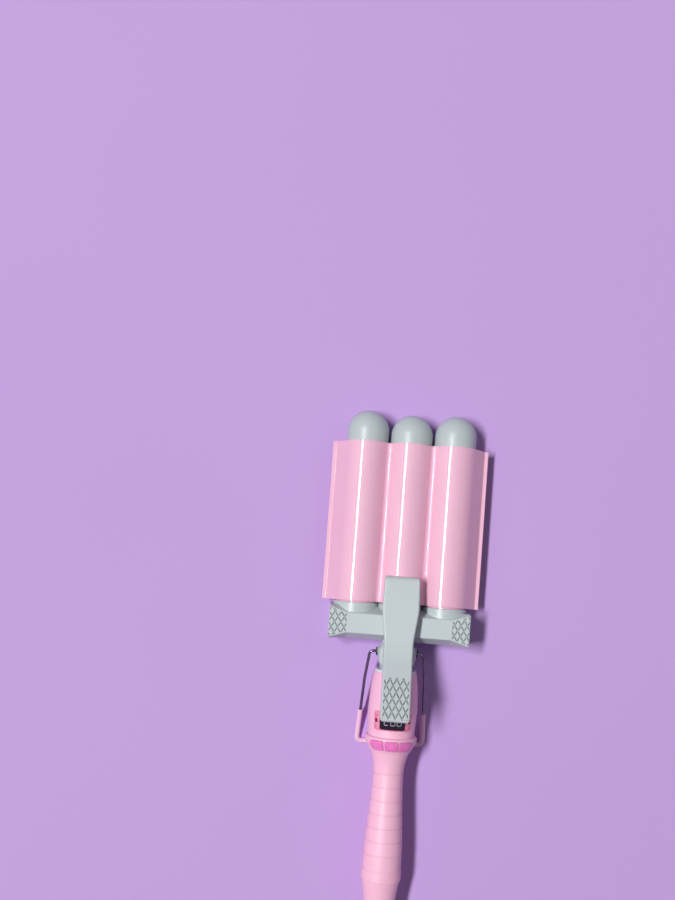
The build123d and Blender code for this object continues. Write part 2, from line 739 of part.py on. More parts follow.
def handle_rear_shell():
    """The lower handle shell, with the posts that carry the main board."""
    shell = lower(shell_body())
    outside = handle_solid(SHELL_WALL / 2)
    for distance in HANDLE_SCREWS:
        pillar, hole = lower_post(0, Y_GRIP - distance, HANDLE_Z - RING_SEAT, outside)
        shell = shell + pillar - hole
    for x, y in board_posts():
        shell += post(BOARD_POST, x, y, HANDLE_Z - RING_RADIUS, BOARD_TOP - BOARD_THICK) & outside
    return shell


def handle_band():
    """The band around the end of the grip."""
    band = tube(BAND_RADIUS, BAND_SEAT, Y_CAP, Y_BAND)
    rims = [e for e in band.edges().filter_by(GeomType.CIRCLE) if e.radius > BAND_RADIUS - 0.01]
    return fillet(rims, RIM_LENGTH / 4)


def cap_solid(inset):
    """The end cap's tapering outside, smaller by an inset."""
    share, waist = CAP_WAIST
    profile = ((0.0, CAP_RADIUS), (share, waist), (1.0, CAP_END_RADIUS))
    return turned(Spline(*stations(profile, Y_CAP, CAP_LENGTH, inset)))


def end_cap():
    """The tapered cap at the cord end, with a spigot in the shells."""
    inside = cap_solid(CAP_WALL) & block(-FAR, FAR, Y_GLAND + CAP_END_WALL, FAR, -FAR, FAR)
    spigot = BAND_SEAT - SHELL_WALL
    cap = cap_solid(0.0) - inside + tube(spigot, spigot - CAP_WALL, Y_CAP - CAP_WALL, Y_CAP + CAP_SPIGOT)
    cap += tube(CAP_RADIUS - CAP_WALL, spigot - CAP_WALL, Y_CAP - CAP_WALL, Y_CAP)
    return cap - rod(GLAND_NECK + RUNNING_GAP + SWIVEL_BUSH_WALL, Y_GLAND, Y_GLAND + CAP_END_WALL)


# Buttons


def ring_solid(proud):
    """The ring's solid outside, widest above the buttons, or larger by how proud the buttons stand."""
    wide, foot = RING_RADIUS + proud, RING_FOOT_RADIUS + proud
    outside = turned(Polyline((Y_RING, wide), (Y_RING - RING_SHOULDER, wide), (Y_GRIP, foot)))
    shoulder = [e for e in outside.edges() if abs((e @ 0).Y - Y_RING + RING_SHOULDER) < 0.01]
    return fillet(shoulder, RING_SHOULDER_ROUND)


def button_ring():
    """The ring around the handle, with a window for each button."""
    ring = ring_solid(0.0)
    ring = fillet([e for e in ring.edges() if (e @ 0).Y > Y_RING - 0.01], RING_ROUND)
    ring = fillet([e for e in ring.edges() if (e @ 0).Y < Y_GRIP + 0.01], RING_FOOT_ROUND)
    ring -= rod(RING_SEAT, Y_GRIP, Y_RING)
    gap = degrees(BUTTON_GAP / RING_RADIUS)
    length = BUTTON_LENGTH / 2 + BUTTON_GAP
    for _, angle in BUTTONS:
        half = (SIDE_BUTTON_HALF if angle else BUTTON_HALF) + gap
        outer = RING_RADIUS + WALL
        window = sector(RING_SEAT - WALL, outer, Y_BUTTONS - length, Y_BUTTONS + length, half, angle)
        ring -= button_rounds(window, angle, BUTTON_GAP)
    return ring


def button_rounds(part, angle, gap=0.0):
    """Rounds a button's corners: more at the outer end of the side buttons."""
    corners = [e for e in part.edges().filter_by(GeomType.LINE) if abs((e % 0.5).Y) < 0.01]
    outer = [e for e in corners if angle and abs((e @ 0.5).X) > RING_RADIUS * sin(radians(SIDE_BUTTON))]
    inner = [e for e in corners if e not in outer]
    part = fillet(inner, BUTTON_ROUND + gap)
    if outer:
        ends = [e for e in part.edges().filter_by(GeomType.LINE) if abs((e % 0.5).Y) < 0.01]
        ends = sorted(ends, key=lambda e: abs((e @ 0.5).X))[-2:]
        part = fillet(ends, SIDE_BUTTON_ROUND + gap)
    return part


def button(angle):
    """A button with lips that keep it in its window and a stem above its switch."""
    half = SIDE_BUTTON_HALF if angle else BUTTON_HALF
    base = RING_SEAT - BUTTON_LIP_GAP - BUTTON_LIP_THICK
    length = BUTTON_LENGTH / 2
    cap = sector(base, RING_RADIUS + BUTTON_PROUD, Y_BUTTONS - length, Y_BUTTONS + length, half, angle)
    cap = button_rounds(cap, angle) & ring_solid(BUTTON_PROUD)
    reach = length + BUTTON_LIP
    half *= BUTTON_LIP_SHARE
    cap += sector(base, RING_SEAT - BUTTON_LIP_GAP, Y_BUTTONS - reach, Y_BUTTONS + reach, half, angle)
    foot = SWITCH_FACE + SWITCH_HEIGHT + PLUNGER_HEIGHT + BUTTON_TRAVEL + BUTTON_STOP
    top = base + BUTTON_LIP_THICK / 2
    stem = Pos(0, 0, -(top - foot) / 2) * Rot(0, 0, 45) * Cylinder(BUTTON_STEM, top - foot)
    return cap + facing(angle, Y_BUTTONS, top) * stem


def switch_carrier():
    """A bent carrier with one facet behind each button, on two legs that stand on the main board."""
    carrier = Part()
    for _, angle in BUTTONS:
        facet = Pos(0, 0, -FACET_THICK / 2) * Box(BUTTON_LENGTH, FACET_WIDTH, FACET_THICK)
        carrier += facing(angle, Y_BUTTONS, SWITCH_FACE) * facet
    middle = SWITCH_FACE - FACET_THICK / 2
    edge = middle * sin(radians(SIDE_BUTTON)) + FACET_WIDTH / 2 * cos(radians(SIDE_BUTTON))
    top = HANDLE_Z + middle * cos(radians(SIDE_BUTTON)) - FACET_WIDTH / 4
    half = BUTTON_LENGTH / 2
    for side in (-1, 1):
        x = side * (edge - FACET_LEG)
        x0, x1 = x - FACET_LEG / 2, x + FACET_LEG / 2
        carrier += block(x0, x1, Y_BUTTONS - half, Y_BUTTONS + half, BOARD_TOP, top)
    return carrier


def tact_switch(angle):
    """A tact switch with its plunger."""
    body = Pos(0, 0, SWITCH_HEIGHT / 2) * Box(SWITCH_SIZE, SWITCH_SIZE, SWITCH_HEIGHT)
    body += Pos(0, 0, SWITCH_HEIGHT + PLUNGER_HEIGHT / 2) * Cylinder(PLUNGER_RADIUS, PLUNGER_HEIGHT)
    return facing(angle, Y_BUTTONS, SWITCH_FACE) * body


# Display


def bezel_blank():
    """The display bezel's outside, which is also its pocket in the shell."""
    half = BEZEL_LENGTH / 2
    blank = sector(SWITCH_FACE, RING_RADIUS + WALL, Y_DISPLAY - half, Y_DISPLAY + half, BEZEL_HALF)
    return rounded(blank, BEZEL_ROUND) & handle_solid(-BEZEL_PROUD) - handle_solid(BEZEL_THICK)


def rounded(part, radius):
    """Rounds the edges of a sector that run out of the handle."""
    return fillet([e for e in part.edges().filter_by(GeomType.LINE) if abs((e % 0.5).Y) < 0.01], radius)


def window_opening():
    """The window's place in the bezel."""
    half = WINDOW_LENGTH / 2
    opening = sector(SWITCH_FACE, RING_RADIUS + WALL, Y_DISPLAY - half, Y_DISPLAY + half, WINDOW_HALF)
    return rounded(opening, BEZEL_ROUND)


def lens_opening(side):
    """An indicator lens's place in the bezel, to one side of the window."""
    half = LENS_LENGTH / 2
    y = Y_DISPLAY
    return sector(SWITCH_FACE, RING_RADIUS + WALL, y - half, y + half, LENS_HALF, side * LENS_ANGLE)


def display_bezel():
    """The frame around the display."""
    return bezel_blank() - window_opening() - lens_opening(-1) - lens_opening(1)


def display_window():
    """The glossy window, flush with the shell."""
    return window_opening() & (handle_solid(0.0) - handle_solid(BEZEL_THICK))


def side_lenses():
    """Two indicator lenses."""
    skin = handle_solid(0.0) - handle_solid(BEZEL_THICK)
    return Part() + [lens_opening(side) & skin for side in (-1, 1)]


def display_module():
    """The digit module on four pins."""
    top = HANDLE_Z + MODULE_TOP
    x, y = MODULE_WIDTH / 2, MODULE_LENGTH / 2
    module = block(-x, x, Y_DISPLAY - y, Y_DISPLAY + y, top - MODULE_HEIGHT, top)
    for sx in (-1, 1):
        for sy in (-1, 1):
            pin = post(MODULE_PIN, sx * (x - 1), Y_DISPLAY + sy * (y - 1), BOARD_TOP, top - MODULE_HEIGHT / 2)
            module += pin
    return module


# Electronics and leads


def main_board():
    """The circuit board on its four posts."""
    half = BOARD_WIDTH / 2
    return block(-half, half, Y_BOARD - BOARD_LENGTH, Y_BOARD, BOARD_TOP - BOARD_THICK, BOARD_TOP)


def board_parts():
    """A capacitor, a relay and a controller chip on the main board."""
    y = Y_BOARD - LEAD_BEND - LEAD_LAP - PARTS_GAP
    x0, x1 = RELAY_SPAN
    half = CHIP_SIZE / 2
    capacitor = rod(CAPACITOR_RADIUS, y - PARTS_LENGTH, y, -CAPACITOR_OFFSET, BOARD_TOP + CAPACITOR_RADIUS)
    relay = block(x0, x1, y - PARTS_LENGTH, y, BOARD_TOP, BOARD_TOP + RELAY_HEIGHT)
    chip = block(-half, half, Y_DISPLAY - half, Y_DISPLAY + half, BOARD_TOP, BOARD_TOP + CHIP_HEIGHT)
    return Part() + [capacitor, relay, chip]


def heater_lead(x):
    """A lead from a barrel's heater through the neck to the main board."""
    _, start = heater_y()
    turn = Y_CARRIER - LEAD_TURN
    end = Y_BOARD - LEAD_LAP
    if not x:
        return rod(LEAD_RADIUS, end, start, 0, LEAD_Z)
    side = 1 if x > 0 else -1
    inner = side * LEAD_SPREAD
    path = FilletPolyline(
        (x - side * LEAD_OFFSET, start, LEAD_Z),
        (x - side * LEAD_OFFSET, turn, LEAD_Z),
        (inner, turn, LEAD_Z),
        (inner, end, LEAD_Z),
        radius=LEAD_BEND,
    )
    return swept(LEAD_RADIUS, path)


def thermal_fuse():
    """The thermal fuse, lying on the leads in the neck."""
    y = (Y_NECK + Y_RIM) / 2
    return rod(FUSE_RADIUS, y - FUSE_LENGTH / 2, y + FUSE_LENGTH / 2, 0, LEAD_Z + LEAD_RADIUS + FUSE_RADIUS)


def supply_lead(side):
    """A mains lead from the main board to the contact block."""
    x = side * SUPPLY_SPREAD
    return rod(LEAD_RADIUS, Y_CAP + CAP_SPIGOT, Y_BOARD - BOARD_LENGTH + LEAD_LAP, x, LEAD_Z)


# Clamp plate


def wave_line(shift):
    """The clamp plate's wave from left to right, shifted outwards from its middle surface."""
    crest = CREST_RADIUS - PLATE_THICK / 2
    rise = cos(radians(CREST_HALF))
    run = sin(radians(CREST_HALF))
    valley = (BARREL_PITCH / 2 - crest * run) / run
    line = []

    def arc(start, tangent, radius, size):
        line.append(JernArc(start, tangent, radius, size))
        return line[-1] @ 1, line[-1] % 1

    def straight(start, tangent, length):
        line.append(Line(start, start + tangent * length))
        return line[-1] @ 1, tangent

    x = -BARREL_PITCH - crest * run - SKIRT_LENGTH * rise - LIP_BEND * run - LIP_LENGTH
    z = BARREL_Z + crest * rise - SKIRT_LENGTH * run - LIP_BEND * (1 - rise) + shift
    at, along = straight(Vector(x, z), Vector(1, 0), LIP_LENGTH)
    at, along = arc(at, along, LIP_BEND - shift, CREST_HALF)
    at, along = straight(at, along, SKIRT_LENGTH)
    for i in range(3):
        at, along = arc(at, along, crest + shift, -2 * CREST_HALF)
        if i < 2:
            at, along = arc(at, along, valley - shift, 2 * CREST_HALF)
    at, along = straight(at, along, SKIRT_LENGTH)
    at, along = arc(at, along, LIP_BEND - shift, CREST_HALF)
    straight(at, along, LIP_LENGTH)
    return line


def clamp_plate():
    """The pressed plate: three crests over the barrels, skirts and lips. Its ends lean back a little."""
    over, under = wave_line(PLATE_THICK / 2), wave_line(-PLATE_THICK / 2)
    ends = [Line(over[0] @ 0, under[0] @ 0), Line(over[-1] @ 1, under[-1] @ 1)]
    face = make_face([edge for line in (*over, *under, *ends) for edge in line.edges()])
    front, back = Y_BARREL + PLATE_REACH, Y_COLLAR + PLATE_BACK_GAP
    high = BARREL_Z + CREST_RADIUS
    fall = PLATE_LEAN * high
    plate = extrude(Plane.XZ.offset(-front) * face, front - back + fall)
    plate &= side_slab(((front, high), (back, high), (back - fall, 0), (front - fall, 0)), -FAR, FAR)
    for place in RIVET_PLACES:
        plate -= post(RIVET_RADIUS, 0, back + place, BARREL_Z, FAR)
    return plate


# Lever


def lever_side(inset, floor):
    """The lever's side outline, smaller by an inset and cut off at a floor if one is given."""
    front = Y_COLLAR + LEVER_OVERLAP - inset
    back = HINGE_Y - PAD_REACH + inset
    top = BARREL_Z + CREST_RADIUS + LEVER_HEIGHT - inset
    knee = HINGE_Z + LEVER_KNEE_HEIGHT - inset
    slope = (PAD_HEIGHT - LEVER_KNEE_HEIGHT) / PAD_REACH
    end = HINGE_Z + PAD_HEIGHT - inset * (slope + hypot(1, slope))
    under = BAR_THICK + LEVER_GAP
    if floor is not None:
        return ((front, floor), (front, top), (HINGE_Y, knee), (back, end), (back, floor)), HOLLOW_ROUNDS
    plate_back = Y_COLLAR + PLATE_BACK_GAP
    points = (
        (front, BARREL_Z + CREST_RADIUS / 2),
        (front, top),
        (HINGE_Y, knee),
        (back, end),
        (back, end - PAD_DEPTH),
        (HINGE_Y - LEVER_TAIL, HINGE_Z + LEVER_TAIL_HEIGHT),
        (HINGE_Y - LEVER_TAIL / 2, under),
        (plate_back, under),
        (plate_back, BARREL_Z + CREST_RADIUS / 2),
    )
    return points, LEVER_ROUNDS


def lever_plan(inset):
    """The lever's plan outline, which narrows from the barrels to the pad."""
    front = Y_COLLAR + LEVER_OVERLAP - inset
    back = HINGE_Y - PAD_REACH + inset
    halves = (
        (back, LEVER_PAD_HALF - inset),
        (Y_NECK + LEVER_WAIST_PLACE, LEVER_WAIST_HALF - inset),
        (Y_BAR, LEVER_WIDE_HALF - inset),
        (front, LEVER_FRONT_HALF - inset),
    )
    right = [(half, y) for y, half in halves]
    left = [(-half, y) for y, half in reversed(halves)]
    corner, front_corner = HOLLOW_CORNERS if inset else LEVER_CORNERS
    right_radii = (corner, LEVER_CURVE, LEVER_CURVE, front_corner)
    return (*right, *left), (*right_radii, *reversed(right_radii))


def lever_solid(inset=0.0, floor=None):
    """The lever's outside, or its hollow if a floor is given."""
    points, radii = lever_side(inset, floor)
    side = side_slab(points, -RIM_RADIUS, RIM_RADIUS, radii)
    plan, plan_radii = lever_plan(inset)
    return side & plan_slab(plan, 0, HINGE_Z + 2 * PAD_HEIGHT, plan_radii)


def pad_plane():
    """The plane of the thumb pad, with its origin at the middle of the relief."""
    slope = (PAD_HEIGHT - LEVER_KNEE_HEIGHT) / PAD_REACH
    lean = atan(slope)
    back = PAD_END + PAD_RELIEF / 2
    y = HINGE_Y - PAD_REACH + back * cos(lean)
    z = HINGE_Z + PAD_HEIGHT - back * sin(lean)
    return Plane(origin=(0, y, z), x_dir=(1, 0, 0), z_dir=(0, sin(lean), cos(lean)))


def base_line():
    """The start and the end of the lever's underside below the pad."""
    slope = (PAD_HEIGHT - LEVER_KNEE_HEIGHT) / PAD_REACH
    start = (HINGE_Y - LEVER_TAIL, HINGE_Z + LEVER_TAIL_HEIGHT)
    end = (HINGE_Y - PAD_REACH, HINGE_Z + PAD_HEIGHT - PAD_DEPTH)
    return start, end


def base_plane(share):
    """A plane on the underside below the pad, at a share of its length, that faces into the lever."""
    (y0, z0), (y1, z1) = base_line()
    length = hypot(y1 - y0, z1 - z0)
    normal = (0, (z1 - z0) / length, (y0 - y1) / length)
    return Plane(origin=(0, y0 + (y1 - y0) * share, z0 + (z1 - z0) * share), x_dir=(1, 0, 0), z_dir=normal)


def base_slab(thick):
    """A slab along the lever's underside below the pad."""
    (y0, z0), (y1, z1) = base_line()
    length = hypot(y1 - y0, z1 - z0)
    slab = Pos(0, 0, thick / 2) * Box(2 * RIM_RADIUS, length - 2 * LEVER_WALL - 2 * BASE_GAP, thick)
    return base_plane(0.5) * slab


def lever_cover():
    """The moulded lever, a channel with a diamond pad, that sits on the plate's middle crest."""
    crest = rod(CREST_RADIUS, Y_BAR, Y_BARREL, 0, BARREL_Z)
    across, along = LEVER_PAD_HALF - PAD_MARGIN, PAD_RELIEF / 2
    outline = ((-across, -along), (across, -along), (across, along), (-across, along))
    outside = lever_solid() - crest - diamonds(outline, PAD_DIAMOND, pad_plane())
    outside = fillet([e for e in outside.edges() if is_lever_ridge(e)], LEVER_ROUND)
    cover = outside - lever_solid(LEVER_WALL, 0.0)
    cover += web_posts() & lever_solid(LEVER_WALL / 2)
    cover += base_posts() & lever_solid(LEVER_WALL / 2)
    return cover - [screw_hole(plane) for plane in lever_screw_planes()]


def is_lever_ridge(edge):
    """Whether an edge runs along the lever's top outline."""
    place = edge @ 0.5
    slope = (PAD_HEIGHT - LEVER_KNEE_HEIGHT) / PAD_REACH
    crest = HINGE_Z + LEVER_KNEE_HEIGHT + max(0.0, (HINGE_Y - place.Y) * slope)
    front = BARREL_Z + CREST_RADIUS + LEVER_HEIGHT
    run = Y_COLLAR + LEVER_OVERLAP - HINGE_Y
    ramp = front + (crest - front) * min(1.0, (Y_COLLAR + LEVER_OVERLAP - place.Y) / run)
    low = min(crest, ramp) - LEVER_HEIGHT / 2
    reach = max(abs((edge @ 0).X), abs((edge @ 1).X))
    return place.Z > low and reach > LEVER_PAD_HALF - PAD_MARGIN / 2


def web_posts():
    """Posts in the lever for the screws through the bracket's web."""
    height = LEVER_KNEE_HEIGHT
    return Part() + [
        post(POST_RADIUS, 0, Y_BAR - y, WEB_Z + WEB_THICK, WEB_Z + WEB_THICK + height) for y in WEB_SCREWS
    ]


def base_posts():
    """Posts in the lever for the screws through its base."""
    bar = Pos(0, 0, BASE_THICK + PAD_DEPTH / 2) * Cylinder(POST_RADIUS, PAD_DEPTH)
    return Part() + [base_plane(share) * bar for share in BASE_SCREWS]


def lever_screw_planes():
    """The planes of the lever screws' head seats, facing along the screws."""
    seats = [Plane(origin=(0, Y_BAR - y, WEB_Z), x_dir=(1, 0, 0), z_dir=(0, 0, 1)) for y in WEB_SCREWS]
    return seats + [base_plane(share).offset(BASE_THICK / 2) for share in BASE_SCREWS]


def screw_hole(plane):
    """The hole of a lever screw."""
    return plane * Pos(0, 0, LEVER_SCREW / 2) * Cylinder(SCREW_RADIUS, LEVER_SCREW)


def lever_screw(plane):
    """A short lever screw with a flat head."""
    head = Pos(0, 0, -LEVER_SCREW_HEAD / 2) * Cylinder(SCREW_HEAD_RADIUS - SCREW_CLEARANCE, LEVER_SCREW_HEAD)
    return plane * (Pos(0, 0, LEVER_SCREW / 2) * Cylinder(SCREW_RADIUS, LEVER_SCREW) + head)


def lever_base():
    """The plate that closes the lever below the pad, with recesses for its screws."""
    base = base_slab(BASE_THICK) & lever_solid(LEVER_WALL, 0.0)
    for share in BASE_SCREWS:
        plane = base_plane(share).offset(BASE_THICK / 2)
        base -= screw_hole(plane)
        base -= plane * Pos(0, 0, -BASE_THICK / 2) * Cylinder(SCREW_HEAD_RADIUS, BASE_THICK)
    return base


def lever_bracket():
    """The steel bracket: a saddle riveted to the plate, a web over the crossbar and two ears on the pin."""
    back = Y_COLLAR + PLATE_BACK_GAP
    saddle = tube(CREST_RADIUS + WEB_THICK, CREST_RADIUS, back, back + 2 * SADDLE_HALF, 0, BARREL_Z)
    saddle &= block(-SADDLE_HALF, SADDLE_HALF, -FAR, FAR, BARREL_Z, FAR)
    low = BARREL_Z + CREST_RADIUS - WEB_THICK / 2
    web_front = Y_BAR - WEB_SETBACK
    joggle = side_slab(
        (
            (back + JOGGLE_LAP, low),
            (back + JOGGLE_LAP, low + WEB_THICK),
            (web_front, WEB_Z + WEB_THICK),
            (web_front, WEB_Z),
            (back, low),
        ),
        -SADDLE_HALF,
        SADDLE_HALF,
    )
    joggle -= rod(CREST_RADIUS, back, back + FAR, 0, BARREL_Z)
    web = block(-EAR_OUTER, EAR_OUTER, HINGE_Y + 2 * EAR_HEIGHT, web_front, WEB_Z, WEB_Z + WEB_THICK)
    bracket = saddle + joggle + web
    tail = HINGE_Y - SPRING_LEG
    for side in (-1, 1):
        x0, x1 = side * EAR_INNER, side * EAR_OUTER
        bracket += block(x0, x1, tail, web_front, WEB_Z, WEB_Z + EAR_HEIGHT)
        bracket += block(x0, x1, HINGE_Y - EAR_RADIUS, HINGE_Y + EAR_RADIUS, HINGE_Z, WEB_Z + EAR_HEIGHT)
        bracket += cross_rod(EAR_RADIUS, x0, x1, HINGE_Y, HINGE_Z)
    spring_tab = WEB_Z + EAR_HEIGHT + WEB_THICK
    bracket += block(-EAR_OUTER, EAR_OUTER, tail, tail + SPRING_TAB, spring_tab - WEB_THICK, spring_tab)
    bracket -= cross_rod(PIN_RADIUS + RUNNING_GAP, -RIM_RADIUS, RIM_RADIUS, HINGE_Y, HINGE_Z)
    bracket -= [post(SCREW_RADIUS, 0, Y_BAR - y, WEB_Z, WEB_Z + WEB_THICK) for y in WEB_SCREWS]
    return bracket - [post(RIVET_RADIUS, 0, back + place, BARREL_Z, FAR) for place in RIVET_PLACES]


def clamp_rivet(place):
    """A rivet through plate and saddle, flush inside the plate."""
    y = Y_COLLAR + PLATE_BACK_GAP + place
    inside = BARREL_Z + CREST_RADIUS - PLATE_THICK
    top = BARREL_Z + CREST_RADIUS + WEB_THICK
    return post(RIVET_RADIUS, 0, y, inside, top) + post(RIVET_HEAD_RADIUS, 0, y, top, top + RIVET_HEAD)


# Hinge


def hinge_pin():
    """The steel pin, fast in the lugs."""
    return cross_rod(PIN_RADIUS, -PIN_HALF, PIN_HALF, HINGE_Y, HINGE_Z)


def clamp_spring():
    """The torsion spring around the pin: its legs press the pad up off the neck."""
    pitch = 2 * SPRING_HALF / SPRING_TURNS
    coil = Helix(pitch=pitch, height=2 * SPRING_HALF, radius=SPRING_RADIUS)
    coil = Pos(-SPRING_HALF, HINGE_Y, HINGE_Z) * Rot(0, 90, 0) * coil
    spring = swept(SPRING_WIRE, coil)
    for end in (0, 1):
        foot = coil @ end
        lift = WEB_Z + EAR_HEIGHT - RUNNING_GAP - SPRING_WIRE - foot.Z if end else SPRING_LIFT
        leg = Line(foot, foot + Vector(0, -SPRING_LEG, lift))
        spring += swept(SPRING_WIRE, leg)
    return spring


# Stand


def stand_plane():
    """The plane of the folded stand, from its pivots down to its foot."""
    fall = STAND_DROP / STAND_REACH
    run = sqrt(1 - fall * fall)
    return Plane(origin=(0, STAND_Y, HANDLE_Z), x_dir=(1, 0, 0), z_dir=(0, fall, -run))


def stand_outline(start):
    """The stand's path on one side, from the pivot or from a distance along the arm to the corner."""
    top, knee, foot = STAND_HALVES
    if start:
        share = (start - STAND_KNEE) / (STAND_REACH - STAND_KNEE)
        return [(knee + (foot - knee) * share, start), (foot, STAND_REACH)]
    return [(NECK_BORE - STAND_TUCK, 0), (top, 0), (knee, STAND_KNEE), (foot, STAND_REACH)]


def stand_path(start=0.0):
    """The whole bent path, or the part of it that lies beyond a distance along the arms."""
    right = stand_outline(start)
    left = [(-x, y) for x, y in right]
    _, _, corner = STAND_BENDS
    radii = (corner, corner) if start else (*STAND_BENDS, *reversed(STAND_BENDS))
    return stand_plane() * FilletPolyline(*left, *reversed(right), radius=radii)


def stand_wire():
    """The bent steel wire, whose ends turn in the neck's bushes."""
    return swept(STAND_RADIUS, stand_path())


def stand_sleeve():
    """The heat-safe sleeve round the foot and the lower arms."""
    return swept(SLEEVE_RADIUS, stand_path(STAND_REACH - SLEEVE_LENGTH)) - stand_wire()


def stand_bush(side):
    """A flanged bush in the neck's wall."""
    face = CHEEK_RADIUS
    inner = NECK_BORE + STAND_TUCK / 2
    bush = cross_rod(BUSH_RADIUS, side * inner, side * face, STAND_Y, HANDLE_Z)
    bush += cross_rod(BUSH_FLANGE_RADIUS, side * face, side * (face + BUSH_FLANGE), STAND_Y, HANDLE_Z)
    bore = STAND_RADIUS + RUNNING_GAP
    return bush - cross_rod(bore, side * inner, side * (face + BUSH_FLANGE), STAND_Y, HANDLE_Z)


# Cord swivel


def cord_gland():
    """The turning gland: a flange inside the cap, a neck in the bush and a collar with the cord's bore."""
    inner = Y_GLAND + CAP_END_WALL + GLAND_GAP
    gland = rod(GLAND_NECK, Y_GLAND - GLAND_GAP, inner)
    gland += rod(GLAND_FLANGE_RADIUS, inner, inner + GLAND_FLANGE)
    collar = rod(GLAND_RADIUS, Y_END, Y_GLAND - GLAND_GAP)
    rims = [e for e in collar.edges().filter_by(GeomType.CIRCLE)]
    gland += fillet(rims, COLLAR_ROUND)
    return gland - rod(CORD_BORE, Y_END, inner)


def swivel_bush():
    """The bush in the cap's end wall."""
    bore = GLAND_NECK + RUNNING_GAP
    return tube(bore + SWIVEL_BUSH_WALL, bore, Y_GLAND, Y_GLAND + CAP_END_WALL)


def swivel_pins():
    """The turning contacts: a pin and a ring on the gland's flange."""
    face = Y_GLAND + CAP_END_WALL + GLAND_GAP + GLAND_FLANGE
    outer, inner = CONTACT_RING
    return Part() + [
        rod(CONTACT_PIN, face, face + CONTACT_LENGTH),
        tube(outer, inner, face, face + CONTACT_LENGTH / 2),
    ]


def contact_block():
    """The fixed contact block in the cap's spigot."""
    radius = BAND_SEAT - SHELL_WALL - CAP_WALL
    return rod(radius, Y_CAP + CAP_SPIGOT - BLOCK_THICK, Y_CAP + CAP_SPIGOT)


def contact_blades():
    """Two fixed brass blades, one at the pin's end and one beside the ring."""
    face = Y_GLAND + CAP_END_WALL + GLAND_GAP + GLAND_FLANGE
    base = Y_CAP + CAP_SPIGOT - BLOCK_THICK
    tip_y = face + CONTACT_LENGTH + CONTACT_GAP
    ring = CONTACT_RING[0] + CONTACT_GAP
    wide, thin = BLADE_WIDTH / 2, BLADE_THICK / 2
    centre = block(-wide, wide, tip_y, base, HANDLE_Z - thin, HANDLE_Z + thin)
    side = block(ring, ring + 2 * thin, face + CONTACT_GAP, base, HANDLE_Z - wide, HANDLE_Z + wide)
    return Part() + [centre, side]


# The nodes


def nodes():
    """Every sub-part by name."""
    made = {}
    for side, x in SIDES:
        made["barrel_" + side] = barrel(x)
        made["tip_" + side] = tip(x)
        made["heater_core_" + side] = heater_core(x)
        made["heater_plate_" + side] = heater_plate(x)
    for name, angle in BUTTONS:
        made["button_" + name] = button(angle)
    seat = HANDLE_Z - SCREW_GRIP
    made["thermistor"] = thermistor()
    made["barrel_collars"] = barrel_collars()
    made["barrel_carrier"] = barrel_carrier()
    made["crossbar_front_cover"] = crossbar_front_cover()
    made["crossbar_rear_cover"] = crossbar_rear_cover()
    made["crossbar_screws"] = Part() + [screw(x, Y_SCREWS, seat) for x in BAR_SCREWS_X]
    made["neck_rim"] = neck_rim()
    made["handle_front_shell"] = handle_front_shell()
    made["handle_rear_shell"] = handle_rear_shell()
    made["handle_screws"] = Part() + [screw(0, Y_GRIP - y, seat) for y in HANDLE_SCREWS]
    made["handle_band"] = handle_band()
    made["end_cap"] = end_cap()
    made["button_ring"] = button_ring()
    made["switch_carrier"] = switch_carrier()
    made["tact_switches"] = Part() + [tact_switch(angle) for _, angle in BUTTONS]
    made["display_bezel"] = display_bezel()
    made["display_window"] = display_window()
    made["side_lenses"] = side_lenses()
    made["display_module"] = display_module()
    made["main_board"] = main_board()
    made["board_parts"] = board_parts()
    made["heater_leads"] = Part() + [heater_lead(x) for _, x in SIDES]
    made["supply_leads"] = Part() + [supply_lead(side) for side in (-1, 1)]
    made["thermal_fuse"] = thermal_fuse()
    made["hinge_pin"] = hinge_pin()
    made["clamp_spring"] = clamp_spring()
    made["clamp_plate"] = clamp_plate()
    made["clamp_rivets"] = Part() + [clamp_rivet(place) for place in RIVET_PLACES]
    made["lever_bracket"] = lever_bracket()
    made["lever_cover"] = lever_cover()
    made["lever_base"] = lever_base()
    made["lever_screws"] = Part() + [lever_screw(plane) for plane in lever_screw_planes()]
    made["stand_wire"] = stand_wire()
    made["stand_sleeve"] = stand_sleeve()
    made["stand_bushes"] = Part() + [stand_bush(side) for side in (-1, 1)]
    made["cord_gland"] = cord_gland()
    made["swivel_bush"] = swivel_bush()
    made["swivel_pins"] = swivel_pins()
    made["contact_block"] = contact_block()
    made["contact_blades"] = contact_blades()
    return made


os.makedirs("parts", exist_ok=True)
for name, shape in nodes().items():
    export_step(shape, f"parts/{name}.step")
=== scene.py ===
# %% [markdown]
# # A hair waver, finished in Blender
#
# The solid parts come ready made from CAD. This lesson gives them the look of the real tool: pink
# enamel on the heated parts, grey heat-safe plastic round them, a satin pink handle and a polished
# wire stand. It also adds what is too thin for CAD, such as the digits in the display and the printed
# signs on the buttons. Lengths in the comments are millimetres, and Blender works in metres.

# %% Load the CAD parts and keep their box
import json
from math import cos, radians, sin

import bmesh
import bpy
from mathutils import Matrix, Vector
from mathutils.bvhtree import BVHTree

